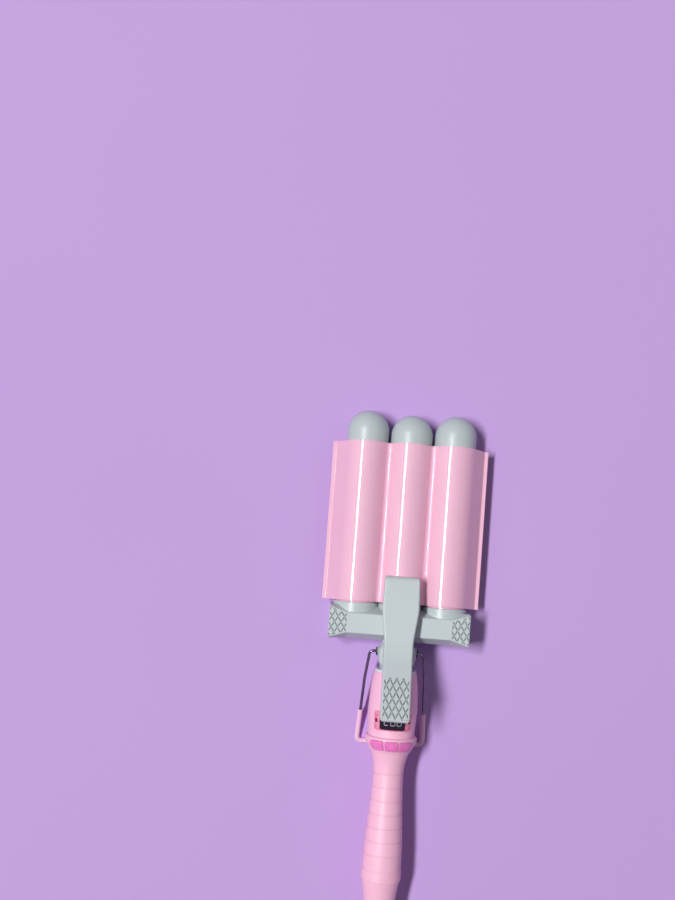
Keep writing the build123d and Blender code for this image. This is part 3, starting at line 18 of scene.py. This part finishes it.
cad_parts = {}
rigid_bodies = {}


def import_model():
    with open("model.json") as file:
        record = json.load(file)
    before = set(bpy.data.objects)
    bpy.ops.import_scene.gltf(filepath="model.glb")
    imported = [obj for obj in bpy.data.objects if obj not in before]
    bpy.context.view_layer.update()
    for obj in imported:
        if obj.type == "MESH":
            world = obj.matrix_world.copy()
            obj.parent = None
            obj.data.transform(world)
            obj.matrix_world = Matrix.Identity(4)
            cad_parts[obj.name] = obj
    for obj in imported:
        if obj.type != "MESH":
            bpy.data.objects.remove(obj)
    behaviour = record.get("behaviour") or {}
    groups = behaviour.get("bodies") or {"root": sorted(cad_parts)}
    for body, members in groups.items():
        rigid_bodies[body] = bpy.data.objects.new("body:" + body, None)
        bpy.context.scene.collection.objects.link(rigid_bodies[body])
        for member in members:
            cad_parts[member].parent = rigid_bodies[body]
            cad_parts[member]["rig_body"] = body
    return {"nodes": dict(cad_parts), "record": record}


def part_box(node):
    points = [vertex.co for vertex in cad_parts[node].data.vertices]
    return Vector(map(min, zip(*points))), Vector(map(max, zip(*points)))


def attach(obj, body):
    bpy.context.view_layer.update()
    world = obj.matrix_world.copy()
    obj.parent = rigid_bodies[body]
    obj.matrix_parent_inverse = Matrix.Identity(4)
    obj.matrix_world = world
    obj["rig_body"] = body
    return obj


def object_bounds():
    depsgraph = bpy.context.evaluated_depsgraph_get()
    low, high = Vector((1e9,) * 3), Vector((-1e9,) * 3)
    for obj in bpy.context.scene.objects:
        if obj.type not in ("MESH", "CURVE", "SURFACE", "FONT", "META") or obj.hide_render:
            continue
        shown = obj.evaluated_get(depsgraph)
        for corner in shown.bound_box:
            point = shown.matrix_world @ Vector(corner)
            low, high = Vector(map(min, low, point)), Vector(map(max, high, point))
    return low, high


MM = 0.001
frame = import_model()
nodes = frame["nodes"]
cad_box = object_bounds()
box_low, box_high = ([round(v, 4) for v in corner] for corner in cad_box)
print(len(nodes), "CAD parts, from", box_low, "to", box_high)

# %% [markdown]
# ## The camera
#
# A tool laid flat on a table is looked at from straight above, with the barrels pointing up in the
# picture. A fairly long lens keeps the barrels and the handle at nearly the same scale, so their
# lengths can be compared. The camera stands a little off the middle and is turned by a few degrees,
# which shows a little of the left side of each part. The shift and turn below take a point of the
# scene to the camera, so the camera's own place is their inverse.

# %% Camera
PICTURE_LONG_SIDE = 900
FOCAL_PIXELS = 1200.0
SENSOR = 36.0
CAMERA_SHIFT = (0.0447, -0.1670, -0.9381)
CAMERA_TURN = (-3.31, -0.69, -4.33)

turn = Matrix.Identity(3)
for angle, axis in zip(CAMERA_TURN, "XYZ"):
    turn = turn @ Matrix.Rotation(radians(angle), 3, axis)
camera_data = bpy.data.cameras.new("camera")
camera_data.sensor_width = SENSOR
camera_data.lens = FOCAL_PIXELS * SENSOR / PICTURE_LONG_SIDE
camera = bpy.data.objects.new("camera", camera_data)
camera.matrix_world = (Matrix.Translation(CAMERA_SHIFT) @ turn.to_4x4()).inverted()
bpy.context.scene.collection.objects.link(camera)
bpy.context.scene.camera = camera
camera_place = [round(v, 3) for v in camera.matrix_world.translation]
print("camera at", camera_place, "lens", round(camera_data.lens, 1), "mm")

# %% [markdown]
# ## Helpers for materials
#
# A hex colour as a paint chart gives it is an sRGB value, while Blender's sockets hold linear light,
# so one function turns the first into the second. Another adds a node, with its settings and with
# whatever feeds it. The short ones after it each name one thing that the recipes below do often.


# %% Colours and nodes
def linear(code):
    """An sRGB hex colour as linear light."""
    channels = [int(code[i : i + 2], 16) / 255 for i in (1, 3, 5)]
    return (*[c / 12.92 if c <= 0.04045 else ((c + 0.055) / 1.055) ** 2.4 for c in channels], 1.0)


def add(tree, kind, inputs=(), **settings):
    """Adds a node with its settings, and fills its inputs with values or with other nodes' outputs."""
    made = tree.nodes.new(kind)
    for name, value in settings.items():
        setattr(made, name, value)
    for socket, value in dict(inputs).items():
        if isinstance(value, bpy.types.NodeSocket):
            tree.links.new(value, made.inputs[socket])
        else:
            made.inputs[socket].default_value = value
    return made


def start(name, values):
    """A material with plain values on its shader's own sockets: the material, its tree and its shader."""
    made = bpy.data.materials.new(name)
    made.use_nodes = True
    shader = made.node_tree.nodes["Principled BSDF"]
    for socket, value in values.items():
        shader.inputs[socket].default_value = value
    return made, made.node_tree, shader


def noise(tree, place, size, detail):
    """A noise whose waves are about as long as the size, in millimetres."""
    settings = {"Vector": place, "Scale": 1 / (size * MM), "Detail": detail}
    return add(tree, "ShaderNodeTexNoise", settings).outputs["Fac"]


def ramp(tree, value, reach, low, high):
    """A value that goes from low to high while another crosses its reach."""
    return add(tree, "ShaderNodeMapRange", {0: value, 1: reach[0], 2: reach[1], 3: low, 4: high}).outputs[0]


def blend(tree, share, first, second):
    """A colour that changes from the first to the second with the share."""
    return add(tree, "ShaderNodeMix", {0: share, 6: first, 7: second}, data_type="RGBA").outputs[2]


def rounded(tree, radius, samples=6):
    """The normal of edges rounded to a radius in millimetres, for the light only."""
    return add(tree, "ShaderNodeBevel", {"Radius": radius * MM}, samples=samples).outputs[0]


def wavy(tree, height, depth, normal):
    """The normal of a surface with waves of a depth in millimetres."""
    settings = {"Strength": 1.0, "Distance": depth * MM, "Height": height, "Normal": normal}
    return add(tree, "ShaderNodeBump", settings).outputs[0]


def rub_and_light_edges(tree, corner, body, reach, share, pale):
    """A colour that turns paler where the rounded edges bend away from the flat surface: wear and a painted
    highlight.
    """
    flat = add(tree, "ShaderNodeNewGeometry").outputs["Normal"]
    bend = add(tree, "ShaderNodeVectorMath", {0: corner, 1: flat}, operation="DOT_PRODUCT").outputs["Value"]
    return blend(tree, ramp(tree, bend, reach, 0.0, share), body, linear(pale))


def dust_and_shade_grooves(tree, body, wide, reach, share, dark):
    """A colour that turns to a darker one in grooves of about a width in millimetres: dust and painted shade.
    """
    settings = {"Distance": wide * MM}
    seen = add(tree, "ShaderNodeAmbientOcclusion", settings, samples=8, only_local=True).outputs["AO"]
    return blend(tree, ramp(tree, seen, reach, share, 0.0), body, linear(dark))


print("pale lilac is", [round(v, 3) for v in linear("#C8A6E0")])

# %% [markdown]
# ## Floor
#
# The tool lies on a plain pale lilac board. Far from the tool the board fades into a backdrop of the
# same colour, as a paper sweep does in a studio, so that no horizon shows behind it. Only what is
# seen fades: the light that the board throws back on the tool stays that of a painted board.

# %% Floor
FLOOR_SIZE = 60.0
FLOOR_ROUGHNESS = 0.8
FLOOR_SPECULAR = 0.2
PAINT_PATCH = 300.0
PAINT_COLOURS = ("#CAA8E3", "#C6A3E0")
SWEEP_REACH = (0.8, 1.8)
BACKDROP = "#C5A2DE"


def seen_ray(tree):
    """One for a ray from the camera, a mirror or clear plastic, and nought for one that lights the tool."""
    paths = add(tree, "ShaderNodeLightPath").outputs
    seen = paths["Is Camera Ray"]
    for other in ("Is Transmission Ray", "Is Glossy Ray"):
        seen = add(tree, "ShaderNodeMath", {0: seen, 1: paths[other]}, operation="MAXIMUM").outputs[0]
    return seen


floor_mesh = bpy.data.meshes.new("floor")
half = FLOOR_SIZE / 2
floor_corners = [(-half, -half, 0), (half, -half, 0), (half, half, 0), (-half, half, 0)]
floor_mesh.from_pydata(floor_corners, [], [(0, 1, 2, 3)])
floor = bpy.data.objects.new("floor", floor_mesh)
bpy.context.scene.collection.objects.link(floor)
board, tree, shader = start(
    "painted board", {"Roughness": FLOOR_ROUGHNESS, "Specular IOR Level": FLOOR_SPECULAR}
)
place = add(tree, "ShaderNodeTexCoord").outputs["Object"]
paint = blend(tree, noise(tree, place, PAINT_PATCH, 2.0), *[linear(code) for code in PAINT_COLOURS])
tree.links.new(paint, shader.inputs["Base Color"])
away = add(tree, "ShaderNodeVectorMath", {0: place}, operation="LENGTH").outputs["Value"]
fade = ramp(tree, away, SWEEP_REACH, 0.0, 1.0)
share = add(tree, "ShaderNodeMath", {0: fade, 1: seen_ray(tree)}, operation="MULTIPLY")
paper = add(tree, "ShaderNodeEmission", {"Color": linear(BACKDROP)})
sweep = add(tree, "ShaderNodeMixShader", {0: share.outputs[0], 1: shader.outputs[0], 2: paper.outputs[0]})
tree.links.new(sweep.outputs[0], tree.nodes["Material Output"].inputs["Surface"])
floor_mesh.materials.append(board)
print("floor", FLOOR_SIZE, "m wide")

# %% [markdown]
# ## Light
#
# One lamp high on the left is the main light: it puts a narrow bright line along every crest of the
# glossy plate and a soft-edged shadow on the right. It hangs far off, so that the light is as strong
# at one end of the tool as at the other. A weak lamp on the right and the world's even light open the
# shadows. The lamps are set so that a colour renders about as it is written.

# %% Lamps and world
LAMP_TARGET = (0, 0.03, 0.02)
KEY_PLACE = (-2.84, 0.45, 6.16)
KEY_SIZE = (2.8, 0.6)
KEY_POWER = 402.0
FILL_PLACE = (0.75, 0.55, 1.0)
FILL_SIZE = (0.5, 0.5)
FILL_POWER = 1.0
AMBIENT = 0.12
AMBIENT_COLOUR = "#F6F2FC"


def lamp(name, place, size, power):
    """A rectangular lamp of a length and a width that faces the tool."""
    data = bpy.data.lights.new(name, "AREA")
    data.shape = "RECTANGLE"
    data.size, data.size_y = size
    data.energy = power
    made = bpy.data.objects.new(name, data)
    made.location = place
    made.rotation_euler = (Vector(LAMP_TARGET) - Vector(place)).to_track_quat("-Z", "Y").to_euler()
    bpy.context.scene.collection.objects.link(made)


lamp("key lamp", KEY_PLACE, KEY_SIZE, KEY_POWER)
lamp("fill lamp", FILL_PLACE, FILL_SIZE, FILL_POWER)
world = bpy.data.worlds.new("studio")
world.use_nodes = True
bpy.context.scene.world = world
tree = world.node_tree
tree.nodes.clear()
ambient = add(tree, "ShaderNodeBackground", {"Color": linear(AMBIENT_COLOUR), "Strength": AMBIENT})
backdrop = add(tree, "ShaderNodeBackground", {"Color": linear(BACKDROP), "Strength": 1.0})
mixed = add(tree, "ShaderNodeMixShader", {0: seen_ray(tree), 1: ambient.outputs[0], 2: backdrop.outputs[0]})
add(tree, "ShaderNodeOutputWorld", {"Surface": mixed.outputs[0]})
bpy.context.scene.view_settings.view_transform = "Standard"
print("key", KEY_POWER, "W, fill", FILL_POWER, "W, ambient", AMBIENT)

# %% [markdown]
# ## Moulded plastics
#
# Everything the hand touches is injection-moulded. The mould's surface was spark-eroded, which leaves
# a fine grain that spreads the highlight and makes the plastic satin. A real grain is about 0.1 mm and
# can't be seen at arm's length, so it is drawn about ten times as coarse and kept very shallow. A
# moulded edge is never sharp, so a bevel node rounds it by a few tenths of a millimetre, for the light
# only. Where the rounding bends the surface, the edge is painted a little paler: rubbed wear and a
# painted highlight. An occlusion node finds narrow grooves and darkens them: dust and skin oil, and
# painted shade. The colour wanders a little over a few centimetres, as pigment in a moulding does.

# %% A moulded plastic
PLASTIC_IOR = 1.53
PIGMENT_PATCH = 26.0
PLASTIC_BEND = (0.99, 0.80)
PLASTIC_RUB_AND_HIGHLIGHT = 0.35
PLASTIC_WEAR_AND_HIGHLIGHT = "#F4F4F4"
GROOVE_WIDE = 1.3
GROOVE_REACH = (0.55, 0.93)
GRAIN_REACH = (0.3, 0.7)
GRAIN_SHEEN = 0.05


def moulded(name, colour, cloudy, dust_and_shade, roughness, grain=1.2, depth=0.05, edge=0.3, groove_dust_and_shade=0.6, **more):
    """A plastic of a colour that wanders to a cloudy one. Grain, depth and edge are in millimetres. The
    fourth colour is dust and painted shade, and the share after edge is how much of it a narrow groove shows."""
    values = {"Base Color": linear(colour), "Roughness": roughness, "IOR": PLASTIC_IOR}
    for socket, value in more.items():
        values[socket.replace("_", " ")] = value
    made, tree, shader = start(name, values)
    place = add(tree, "ShaderNodeTexCoord").outputs["Object"]
    body = blend(tree, noise(tree, place, PIGMENT_PATCH, 4.0), linear(colour), linear(cloudy))
    corner = rounded(tree, edge)
    # Paler edges: rubbed wear and a painted highlight.
    rubbed_and_lit = rub_and_light_edges(tree, corner, body, PLASTIC_BEND, PLASTIC_RUB_AND_HIGHLIGHT, PLASTIC_WEAR_AND_HIGHLIGHT)
    # Darker narrow grooves: dust and painted shade.
    dusted_and_shaded = dust_and_shade_grooves(tree, rubbed_and_lit, GROOVE_WIDE, GROOVE_REACH, groove_dust_and_shade, dust_and_shade)
    tree.links.new(dusted_and_shaded, shader.inputs["Base Color"])
    spark = noise(tree, place, grain, 2.0)
    sheen = ramp(tree, spark, GRAIN_REACH, roughness - GRAIN_SHEEN, roughness + GRAIN_SHEEN)
    tree.links.new(sheen, shader.inputs["Roughness"])
    tree.links.new(wavy(tree, spark, depth, corner), shader.inputs["Normal"])
    return made


# %% [markdown]
# The tips, the collars, the crossbar and the lever stand next to metal at over 200 degrees, so they are
# a glass-filled nylon or PBT. It moulds to a satin, slightly cloudy pale grey with a hint of green. The
# rim below the neck is the same plastic, polished. The inner carriers never show, and are left natural.

# %% Heat-safe grey plastics
# The fourth colour of each plastic is what its narrow grooves turn to: dust and painted shade.
finishes = {
    "tip_plastic": moulded("moulded grey PBT", "#C1CECC", "#B9C6C4", "#6E7A7A", 0.42, grain=1.6),
    "collar_plastic": moulded("moulded light grey PBT", "#C3CFCF", "#BBC7C7", "#747F80", 0.36),
    "cover_plastic": moulded(
        "spark-eroded grey PBT", "#C8D4D3", "#C0CCCB", "#56615F", 0.42, grain=1.6, edge=0.45, groove_dust_and_shade=0.9
    ),
    "rim_plastic": moulded("polished white PBT", "#E4EAEA", "#DCE3E4", "#8A9294", 0.25, depth=0.02),
    "inner_plastic": moulded("natural nylon", "#D9D2C2", "#CFC7B4", "#857E70", 0.5),
}
print(len(finishes), "heat-safe plastics")

# %% [markdown]
# The handle is ABS. Its pink shells came from a mould with a fine grain, and the three keys from a
# polished one, in a magenta that is clear enough to let a little light in under the surface. Red light
# goes deepest.

# %% Handle plastics
CLEAR_DEPTHS = (1.2, 0.6, 0.9)

# The fourth colour of each plastic is what its narrow grooves turn to: dust and painted shade.
finishes["handle_plastic"] = moulded("moulded pink ABS", "#FEC6DD", "#FBBFD7", "#ECA5BE", 0.44, depth=0.04)
finishes["button_plastic"] = moulded(
    "polished magenta ABS",
    "#FC87CE",
    "#F67CC6",
    "#8E3A7A",
    0.24,
    depth=0.02,
    edge=0.5,
    Subsurface_Weight=0.15,
)
shader = finishes["button_plastic"].node_tree.nodes["Principled BSDF"]
shader.inputs["Subsurface Radius"].default_value = tuple(depth * MM for depth in CLEAR_DEPTHS)
finishes["bush_plastic"] = moulded("black acetal", "#26242A", "#1F1E23", "#0E0D10", 0.35)
finishes["component_plastic"] = moulded("moulded black epoxy", "#2B2B2E", "#242427", "#111113", 0.5)
print(len(finishes), "finishes so far")

# %% [markdown]
# ## The display
#
# The frame round the display is a translucent coral acrylic, mottled with paler patches that are a
# painted highlight. The window is smoked acrylic, polished on both faces, so it mirrors the lamps
# sharply and hides the board below it. The two small indicator lenses are a dark ruby red, and glow
# only when lit. Each of them is nearly smooth: only faint finger smudges change how sharply they shine.

# %% A polished acrylic
ACRYLIC_IOR = 1.49
PATCH_SIZE = 2.4
PATCH_REACH = (0.42, 0.62)
FINGER_PATCH = 9.0
FINGER_REACH = (0.35, 0.7)
FINGER_BLUR = 0.08
ACRYLIC_EDGE = 0.25


def polished(name, colour, patch, roughness, **more):
    """A polished clear or tinted plastic with a patchy colour and finger smudges."""
    values = {"Base Color": linear(colour), "Roughness": roughness, "IOR": ACRYLIC_IOR}
    for socket, value in more.items():
        values[socket.replace("_", " ")] = value
    made, tree, shader = start(name, values)
    place = add(tree, "ShaderNodeTexCoord").outputs["Object"]
    share = ramp(tree, noise(tree, place, PATCH_SIZE, 2.0), PATCH_REACH, 0.0, 1.0)
    tree.links.new(blend(tree, share, linear(colour), linear(patch)), shader.inputs["Base Color"])
    smudge = noise(tree, place, FINGER_PATCH, 5.0)
    gloss = ramp(tree, smudge, FINGER_REACH, roughness, roughness + FINGER_BLUR)
    tree.links.new(gloss, shader.inputs["Roughness"])
    tree.links.new(rounded(tree, ACRYLIC_EDGE), shader.inputs["Normal"])
    return made


finishes["window_plastic"] = polished("smoked acrylic", "#0F0D12", "#15101A", 0.05)
finishes["lens_plastic"] = polished("ruby acrylic", "#7C0A24", "#5E0619", 0.08)
# The frame's second colour, in random patches, is a painted highlight.
finishes["bezel_plastic"] = polished("coral acrylic", "#F27C9C", "#F9A3B6", 0.14, Subsurface_Weight=0.1)
print("window, lenses and frame are acrylic")

# %% [markdown]
# ## Enamel on the heated parts
#
# The barrels are aluminium tube and the clamp plate is aluminium sheet, both sprayed with a glossy
# ceramic enamel and baked. A sprayed coat is never dead flat: it has a slight orange peel with waves
# some 3 mm apart, which makes a reflected line waver a little. A clear glaze lies over the colour,
# which is what a coat layer does in the shader. An occlusion node darkens each fold: paint that pooled
# and dust that settled there, and painted shade. The rounded edges are painted paler, as rubbed wear
# and a painted highlight. Handling leaves faint smudges that blur the gloss.

# %% Enamels
ENAMEL = {"IOR": 1.55, "Coat Weight": 1.0, "Coat Roughness": 0.03, "Coat IOR": 1.5}
SPRAY_PATCH = 40.0
ENAMEL_EDGE = 0.35
ENAMEL_BEND = (0.97, 0.75)
ENAMEL_RUB_AND_HIGHLIGHT = 0.4
ENAMEL_WEAR_AND_HIGHLIGHT = "#FFF0F6"
FOLD_WIDE = 2.4
FOLD_REACH = (0.45, 0.9)
FOLD_SHARE = 0.7
SMUDGE_PATCH = 18.0
SMUDGE_REACH = (0.4, 0.75)
SMUDGE_BLUR = 0.12
PEEL_WAVE = 3.0
PEEL_DEPTH = 0.012


def enamelled(name, colour, thin, fold_pool_and_shade, roughness):
    """A sprayed, baked enamel whose colour is thinner in places, with wear and a painted highlight on edges
    and pooled paint and painted shade in a fold.
    """
    made, tree, shader = start(name, {"Base Color": linear(colour), "Roughness": roughness, **ENAMEL})
    place = add(tree, "ShaderNodeTexCoord").outputs["Object"]
    body = blend(tree, noise(tree, place, SPRAY_PATCH, 3.0), linear(colour), linear(thin))
    corner = rounded(tree, ENAMEL_EDGE)
    # Paler edges: rubbed wear and a painted highlight.
    rubbed_and_lit = rub_and_light_edges(tree, corner, body, ENAMEL_BEND, ENAMEL_RUB_AND_HIGHLIGHT, ENAMEL_WEAR_AND_HIGHLIGHT)
    # A darker fold: paint that pooled there, and painted shade.
    pooled_and_shaded = dust_and_shade_grooves(tree, rubbed_and_lit, FOLD_WIDE, FOLD_REACH, FOLD_SHARE, fold_pool_and_shade)
    tree.links.new(pooled_and_shaded, shader.inputs["Base Color"])
    smudge = noise(tree, place, SMUDGE_PATCH, 6.0)
    gloss = ramp(tree, smudge, SMUDGE_REACH, roughness, roughness + SMUDGE_BLUR)
    tree.links.new(gloss, shader.inputs["Roughness"])
    peel = wavy(tree, noise(tree, place, PEEL_WAVE, 1.0), PEEL_DEPTH, corner)
    tree.links.new(peel, shader.inputs["Normal"])
    tree.links.new(peel, shader.inputs["Coat Normal"])
    return made


# The fourth colour of each enamel is what its folds turn to: pooled paint and painted shade.
finishes["clamp_coating"] = enamelled("pink ceramic enamel", "#F5C0D5", "#F1B8CF", "#A3607C", 0.55)
finishes["barrel_coating"] = enamelled("pink tourmaline enamel", "#F2B2CB", "#ECA9C4", "#985672", 0.55)
print("two enamels")

# %% [markdown]
# ## Metals
#
# The stand is polished steel wire, drawn through a die, so its scratches run along it: the noise is
# stretched along the tool's length, as most of the wire is. Bought-in screws and rivets are
# zinc-plated, the spring is oiled blue-grey spring steel, the cores are cast aluminium, the contacts
# are brass and the fuse is tinned copper. A metal's colour is the colour of its reflection, and its
# gloss comes from its roughness, which the scratches change.

# %% Metals
SPOT_PATCH = 6.0
SPOT_REACH = (0.45, 0.7)
SPOT_SHARE = 0.8
SCRATCH_REACH = (0.3, 0.7)
SCRATCH_BLUR = 0.15
METAL_EDGE = 0.15


def metal(name, colour, tarnish, roughness, grain, depth=0.01):
    """A bare metal with scratches whose lengths along x, y and z are given in millimetres."""
    made, tree, shader = start(name, {"Base Color": linear(colour), "Metallic": 1.0, "Roughness": roughness})
    place = add(tree, "ShaderNodeTexCoord").outputs["Object"]
    scale = [1 / (length * MM) for length in grain]
    pulled = add(tree, "ShaderNodeVectorMath", {0: place, 1: scale}, operation="MULTIPLY").outputs[0]
    settings = {"Vector": pulled, "Scale": 1.0, "Detail": 3.0}
    scratch = add(tree, "ShaderNodeTexNoise", settings).outputs["Fac"]
    share = ramp(tree, noise(tree, place, SPOT_PATCH, 4.0), SPOT_REACH, 0.0, SPOT_SHARE)
    tree.links.new(blend(tree, share, linear(colour), linear(tarnish)), shader.inputs["Base Color"])
    gloss = ramp(tree, scratch, SCRATCH_REACH, roughness, roughness + SCRATCH_BLUR)
    tree.links.new(gloss, shader.inputs["Roughness"])
    scored = wavy(tree, scratch, depth, rounded(tree, METAL_EDGE, samples=4))
    tree.links.new(scored, shader.inputs["Normal"])
    return made


finishes["polished_steel"] = metal("polished drawn steel", "#77777D", "#5A5A60", 0.10, (0.4, 12.0, 0.4))
finishes["plain_steel"] = metal("zinc-plated steel", "#B9BDC2", "#A3A39A", 0.28, (0.8, 0.8, 0.8), 0.02)
finishes["spring_steel"] = metal("oiled spring steel", "#5C6068", "#474A50", 0.25, (3.0, 0.3, 0.3))
finishes["core_aluminium"] = metal("cast aluminium", "#C3C6C9", "#A9ABAE", 0.45, (1.5, 1.5, 1.5), 0.08)
finishes["contact_brass"] = metal("turned brass", "#D9B25F", "#B08A45", 0.25, (2.0, 0.3, 2.0))
finishes["fuse_metal"] = metal("tinned copper", "#CFC9BF", "#B1A99C", 0.3, (0.6, 4.0, 0.6))
print(len(finishes), "finishes with the metals")

# %% [markdown]
# ## The remaining parts
#
# The other parts follow the recipes for plastic and acrylic: silicone for the sleeve on the stand's
# foot and for the leads' insulation, alumina ceramic for the heaters, glass for the temperature sensor,
# and green glass-epoxy laminate for the circuit board. Silicone is soft and dull. Fired alumina is
# white and slightly grainy.

# %% The other finishes
# The fourth colour of each moulded finish is what its narrow grooves turn to: dust and painted shade.
finishes["sleeve_rubber"] = moulded(
    "pink silicone", "#FFD4E9", "#FDCBE2", "#C58AA2", 0.5, Subsurface_Weight=0.1
)
finishes["lead_insulation"] = moulded("white silicone", "#ECE8E0", "#E0DBD1", "#9C968C", 0.55, grain=0.8)
finishes["heater_ceramic"] = moulded(
    "fired alumina", "#F1EEE6", "#E6E1D6", "#A49D90", 0.6, grain=0.8, depth=0.1
)
finishes["sensor_glass"] = polished("amber glass", "#C08A4A", "#A87438", 0.05)
finishes["board_laminate"] = moulded("green glass-epoxy", "#2E6B45", "#27603D", "#173D26", 0.35, grain=0.9)
slots = {part["material_slot"] for part in frame["record"]["subparts"]}
print(len(finishes), "finishes;", "slots without one:", sorted(slots - set(finishes)))

# %% [markdown]
# ## Putting the finishes on the parts
#
# Every CAD part names the material that it is made of, so one loop gives each part its finish. The
# part's shape isn't touched.

# %% Finishes on the CAD parts
for part in frame["record"]["subparts"]:
    piece = nodes[part["node"]]
    piece.data.materials.clear()
    piece.data.materials.append(finishes[part["material_slot"]])
print(len(nodes), "parts finished")

# %% [markdown]
# ## Print on the keys and digits in the display
#
# The signs on the keys are pad-printed and the digits shine through the window as thin pale lines. Both
# could be a picture on the surface, but a picture has no edge of its own up close. Here each stroke is
# a real strip a few hundredths thick, laid on the surface that carries it. A stroke is drawn flat, as a
# line with a width at each of its points, and a ray cast towards the handle's axis then finds where
# each of its points lies on the curved part.

# %% A strip laid on a curved part
PRINT_LIFT = 0.05
PRINT_SINK = 0.03
STROKE_STEP = 0.3
ring_low, ring_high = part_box("button_ring")
AXIS_Z = (ring_low.z + ring_high.z) / 2
RING_RADIUS = (ring_high.z - ring_low.z) / 2


def resampled(points, widths):
    """The same line with a point at least every STROKE_STEP."""
    line, breadth = [points[0]], [widths[0]]
    for (a, b), (wa, wb) in zip(zip(points, points[1:]), zip(widths, widths[1:])):
        steps = max(1, round((Vector(b) - Vector(a)).length / STROKE_STEP))
        for i in range(1, steps + 1):
            line.append(Vector(a).lerp(Vector(b), i / steps))
            breadth.append(wa + (wb - wa) * i / steps)
    return [Vector(p) for p in line], breadth


def laid(target, radius, centre_angle, y, u, v, lift):
    """The point at u across and v along, in millimetres, on the surface of a part round the handle's axis."""
    angle = radians(centre_angle) + u * MM / radius
    out = Vector((sin(angle), 0, cos(angle)))
    hit = target.ray_cast(Vector((0, y + v * MM, AXIS_Z)) + out * 2 * radius, -out)[0]
    return hit + out * lift * MM


def printed(name, node, radius, centre_angle, y, strokes, finish):
    """Makes a piece of thin strips that lie on a CAD part and ride with it."""
    source = nodes[node].data
    target = BVHTree.FromPolygons([p.co for p in source.vertices], [f.vertices for f in source.polygons])
    mesh = bmesh.new()
    for points, widths in strokes:
        line, breadth = resampled(points, widths)
        rings = []
        for i, (here, wide) in enumerate(zip(line, breadth)):
            along = (line[min(i + 1, len(line) - 1)] - line[max(i - 1, 0)]).normalized()
            across = Vector((-along.y, along.x)) * wide / 2
            sides = [(here + across, PRINT_LIFT), (here - across, PRINT_LIFT)]
            sides += [(here - across, -PRINT_SINK), (here + across, -PRINT_SINK)]
            places = [laid(target, radius, centre_angle, y, p.x, p.y, lift) for p, lift in sides]
            rings.append([mesh.verts.new(place) for place in places])
        for a, b in zip(rings, rings[1:]):
            for i in range(len(a)):
                after = (i + 1) % len(a)
                mesh.faces.new((a[i], a[after], b[after], b[i]))
        mesh.faces.new(rings[0])
        mesh.faces.new(rings[-1][::-1])
    bmesh.ops.recalc_face_normals(mesh, faces=mesh.faces)
    data = bpy.data.meshes.new(name)
    mesh.to_mesh(data)
    mesh.free()
    data.materials.append(finish)
    piece = bpy.data.objects.new(name, data)
    bpy.context.scene.collection.objects.link(piece)
    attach(piece, nodes[node]["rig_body"])
    print(name, "has", len(strokes), "strokes and", len(data.polygons), "faces")


print("the handle's axis is", round(AXIS_Z / MM, 1), "mm up")
print("the button ring's radius is", round(RING_RADIUS / MM, 1), "mm")

# %% [markdown]
# A seven-segment digit is made of the segments of a figure eight, each a bar with pointed ends. The
# display shows a temperature, 200. The digits are a pale, matt grey.

# %% Digits
DIGIT_WIDE = 3.2
DIGIT_HIGH = 5.6
DIGIT_PITCH = 5.0
SEGMENT_WIDE = 0.40
SEGMENT_POINT = 0.08
SEGMENT_GAP = 0.12
READING = "200"
SEGMENTS = {"2": "abged", "0": "abcdef"}

w, h = DIGIT_WIDE / 2, DIGIT_HIGH / 2
corners = {"a": ((-w, h), (w, h)), "b": ((w, h), (w, 0)), "c": ((w, 0), (w, -h)), "d": ((w, -h), (-w, -h))}
corners.update({"e": ((-w, -h), (-w, 0)), "f": ((-w, 0), (-w, h)), "g": ((-w, 0), (w, 0))})
widths = [SEGMENT_POINT, SEGMENT_WIDE, SEGMENT_WIDE, SEGMENT_POINT]
strokes = []
for place, digit in enumerate(READING):
    middle = Vector(((place - (len(READING) - 1) / 2) * DIGIT_PITCH, 0))
    for segment in SEGMENTS[digit]:
        a, b = (Vector(p) + middle for p in corners[segment])
        along = (b - a).normalized()
        a, b = a + along * SEGMENT_GAP, b - along * SEGMENT_GAP
        point = along * SEGMENT_WIDE / 2
        strokes.append(([a, a + point, b - point, b], widths))
digit_light = moulded("pale display digit", "#C9CDD2", "#C0C5CB", "#9AA1A8", 0.45, depth=0.01, edge=0.05)
low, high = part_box("display_window")
radius, middle = high.z - AXIS_Z, (low.y + high.y) / 2
printed("display_digits", "display_window", radius, 0.0, middle, strokes, digit_light)

# %% [markdown]
# The minus and the plus are made of straight bars. The power sign is a ring that is open at the top,
# with a short bar in the gap. The minus and plus keys sit to the left and right of the power key, turned
# round the handle's axis by the button angle, in degrees. The ink is a pale, matt pink.

# %% Signs on the keys
SIGN_WIDE = 0.42
SIGN_HALF = 1.35
POWER_RADIUS = 1.25
POWER_GAP = 38
ARC_STEPS = 24
TICK_START = 0.1
TICK_PAST = 0.35
BUTTON_ANGLE = 36.1

bar = ([(-SIGN_HALF, 0), (SIGN_HALF, 0)], [SIGN_WIDE] * 2)
stem = ([(0, -SIGN_HALF), (0, SIGN_HALF)], [SIGN_WIDE] * 2)
turns = [radians(90 + POWER_GAP + (360 - 2 * POWER_GAP) * i / ARC_STEPS) for i in range(ARC_STEPS + 1)]
arc = ([(POWER_RADIUS * cos(t), POWER_RADIUS * sin(t)) for t in turns], [SIGN_WIDE] * len(turns))
tick = ([(0, TICK_START), (0, POWER_RADIUS + TICK_PAST)], [SIGN_WIDE] * 2)
ink = moulded("pale pink ink", "#F7B9E2", "#F2B0DA", "#D995C0", 0.5, depth=0.01, edge=0.05)
signs = (("minus", -BUTTON_ANGLE, [bar]), ("power", 0, [arc, tick]), ("plus", BUTTON_ANGLE, [bar, stem]))
for key, angle, sign in signs:
    low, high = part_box("button_" + key)
    middle = (low.y + high.y) / 2
    printed(key + "_sign", "button_" + key, RING_RADIUS, angle, middle, sign, ink)
